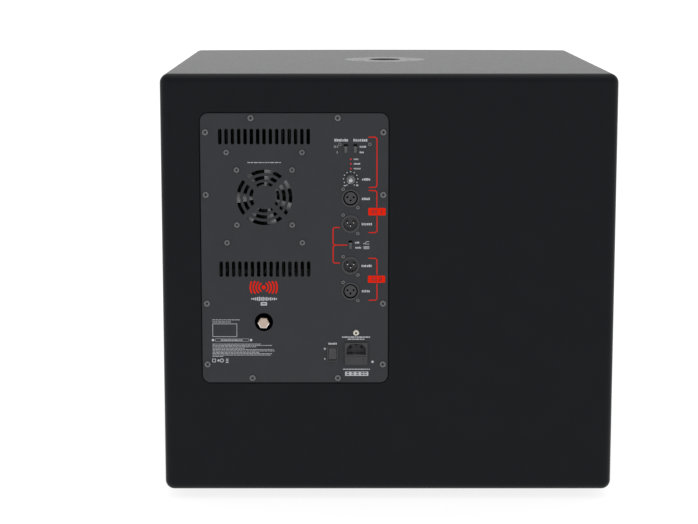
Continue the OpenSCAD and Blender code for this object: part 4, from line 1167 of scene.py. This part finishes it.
def white_print():
    bm = bmesh.new()
    # Level meter bars and a plain tag under the emblem
    bars = (1.8, 2.6, 3.6, 4.6, 5.6, 4.4, 5.2, 3.8, 5.0, 3.2, 4.2, 2.8, 3.4, 2.0)
    for i, tall in enumerate(bars):
        u = -40.2 + (i - (len(bars) - 1) / 2) * 2.45
        box(bm, u - 0.8, -65.3 - tall / 2, u + 0.8, -65.3 + tall / 2)
    field(bm, 8.3, 4.6, 1.0, (-40.5, -71.8))
    # Small print at the lower left
    text_line(bm, -108.0, -72.0, -93.1, 0.8, 0.7)
    text_line(bm, -108.0, -83.5, -95.9, 0.8, 0.7)
    outline_box(bm, -107.8, -115.7, -75.7, -98.1, 0.62)
    outline_box(bm, -104.2, -121.9, -60.6, -118.1, 0.32)
    text_line(bm, -97.0, -68.0, -120.0, 1.2)
    for u in (-107.3, -57.6):
        disc(bm, (u, -120.0), 1.7)
    widths = (63.0, 79.0, 58.0, 42.0, 80.0, 82.5, 61.0, 79.0, 76.0, 15.0)
    for i, width in enumerate(widths):
        text_line(bm, -108.0, -108.0 + width, -125.3 - 1.83 * i, 0.72, 0.7)
    # A row of plain shapes: two squares, a ring and a stack of bars
    outline_box(bm, -108.6, -149.6, -103.8, -144.8, 0.8)
    field(bm, 2.6, 2.6, 0.6, (-100.4, -147.2))
    whole_ring(bm, (-96.0, -147.2), 2.1, 0.9)
    for v in (-145.4, -147.6, -149.8):
        box(bm, -90.6, v - 0.55, -87.4, v + 0.55)
    text_line(bm, -60.4, -16.4, 113.1, 0.95, 1.1)
    # Labels of the controls
    for u, v, width, height in (
        (60.3, 142.0, 18.0, 3.5), (85.0, 142.0, 18.6, 3.5), (88.2, 133.5, 8.4, 2.3), (86.7, 126.4, 5.6, 2.3),
        (79.6, 117.4, 6.4, 2.0), (80.6, 111.5, 8.4, 2.0), (80.9, 105.3, 8.8, 2.0), (92.4, 91.3, 10.8, 3.1),
        (92.2, 66.0, 10.8, 3.1), (93.6, 33.0, 14.0, 3.1), (93.4, -21.7, 14.0, 3.1), (92.2, -55.0, 10.6, 3.1),
        (80.9, 8.8, 6.0, 2.4), (82.4, 2.2, 7.8, 2.4), (49.1, -124.8, 11.6, 2.5),
    ):
        blocks(bm, (u, v), width, height)
    digits(bm, "180", (53.3, 133.6), 2.2, 0.62)
    digits(bm, "0", (55.1, 126.3), 2.2, 0.62)
    # Link symbols: a bent line over a base line, and two straight ones
    strip(bm, [(88.7, 7.6), (91.0, 7.6), (93.2, 10.2), (96.6, 10.2)], 0.6)
    box(bm, 91.0, 6.6, 96.6, 7.2)
    for v in (3.6, 2.2, 0.8):
        box(bm, 89.2, v - 0.35, 96.8, v + 0.35)
    # Dial: eleven dots and an end mark on each side
    dial = (LEVEL[0] - 0.2, LEVEL[1] + 0.7)
    for i in range(11):
        disc(bm, polar(dial, 9.25, math.radians(240 - 30 * i)), 0.82, 14)
    box(bm, LEVEL[0] - 9.1, LEVEL[1] - 8.9, LEVEL[0] - 6.4, LEVEL[1] - 7.5)
    box(bm, LEVEL[0] + 6.9, LEVEL[1] - 8.7, LEVEL[0] + 9.6, LEVEL[1] - 6.7)
    # Around the mains inlet and the power switch
    text_line(bm, 61.2, 97.8, -116.0, 1.5, 0.6)
    text_line(bm, 68.8, 90.4, -118.8, 1.4, 0.6)
    text_line(bm, 62.6, 97.6, -158.9, 1.2, 0.6)
    field(bm, 30.4, 5.7, 0.4, (80.5, -164.9), 3)
    whole_ring(bm, (38.8, -131.6), 1.0, 0.8)
    strip(bm, [(38.8, -143.8), (38.8, -146.0)], 1.3)
    disc(bm, (101.2, -149.0), 1.6)
    make_piece("panel_print_white", bm, "panel_print_white", place=PANEL, angle=30.0)


def dark_print():
    """What is left out of the red and white fields, so that the panel's own colour shows through."""
    bm = bmesh.new()
    low, high = PRINT_HIGH - 0.02, PRINT_HIGH + 0.03
    for v, number in ((49.3, "1"), (-39.3, "2")):
        for i in range(2):
            u = 99.9 + 4.0 * i
            for k in range(3):
                box(bm, u, v - 2.2 + 1.75 * k, u + 2.7, v - 1.3 + 1.75 * k, low, high)
        digits(bm, number, (111.3, v), 4.2, 0.85, low, high)
    for u in (67.4, 73.6, 79.8, 86.0, 90.2):
        for v in (-163.4, -165.8):
            box(bm, u, v - 0.6, u + 3.4, v + 0.6, low, high)
    box(bm, -43.0, -72.4, -38.0, -71.2, low, high)
    make_piece("panel_print_gaps", bm, "panel_paint", place=PANEL, angle=30.0)


# ---------- stage, light and camera
def make_stage():
    bm = bmesh.new()
    bmesh.ops.create_grid(bm, x_segments=8, y_segments=8, size=30.0)
    floor = add_object("floor", to_mesh(bm, "floor", Matrix.Identity(4)))
    n = Nodes("floor_paint")
    roughness = n.ramp(n.noise(3.0), 0.3, 0.7, 0.75, 0.85)
    floor.data.materials.append(n.finish((0.25, 0.25, 0.252, 1.0), roughness))
    n.bsdf.inputs["Emission Color"].default_value = (1.0, 1.0, 1.0, 1.0)
    n.bsdf.inputs["Emission Strength"].default_value = 0.85


def make_light():
    """Even light all round against a white backdrop, with three soft boxes."""
    world = bpy.data.worlds.new("studio")
    bpy.context.scene.world = world
    world.use_nodes = True
    tree = world.node_tree
    around = tree.nodes["Background"]
    backdrop = tree.nodes.new("ShaderNodeBackground")
    for node, strength in ((around, 0.8), (backdrop, 1.0)):
        node.inputs["Color"].default_value = (1.0, 1.0, 1.0, 1.0)
        node.inputs["Strength"].default_value = strength
    path = tree.nodes.new("ShaderNodeLightPath")
    mix = tree.nodes.new("ShaderNodeMixShader")
    tree.links.new(path.outputs["Is Camera Ray"], mix.inputs["Fac"])
    tree.links.new(around.outputs[0], mix.inputs[1])
    tree.links.new(backdrop.outputs[0], mix.inputs[2])
    tree.links.new(mix.outputs[0], tree.nodes["World Output"].inputs["Surface"])
    for name, place, aim, size, power in (
        ("overhead_box", (0.0, 0.2, 3.2), (0.0, 0.0, 0.3), 2.6, 12.0),
        ("left_box", (2.6, 2.4, 1.9), (0.0, 0.2, 0.3), 1.4, 2.0),
        ("far_box", (0.0, -3.6, 1.7), (0.0, 0.0, 0.5), 3.0, 6.0),
    ):
        lamp = bpy.data.lights.new(name, "AREA")
        lamp.size = size
        lamp.energy = power
        box_light = add_object(name, lamp)
        box_light.location = place
        box_light.rotation_euler = (Vector(aim) - Vector(place)).to_track_quat("-Z", "Y").to_euler()
        box_light.visible_camera = False


def make_camera():
    data = bpy.data.cameras.new("camera")
    data.sensor_width = 36.0
    data.lens = 101.0
    data.clip_end = 60.0
    camera = add_object("camera", data)
    camera.location = Vector((51.6, REAR_Y + 2510.4, CAB_LOW.z + 710.4)) * MM
    camera.rotation_euler = (math.radians(90 - 9.143), 0.0, math.pi)
    bpy.context.scene.camera = camera


make_stage()
make_light()
make_camera()
make_cabinet()
make_grille()
make_foam()
make_wadding()
make_suspension()
make_impeller()
make_screws()
make_knob()
make_fine_parts()
red_print()
white_print()
dark_print()
bpy.context.scene.view_settings.view_transform = "Standard"
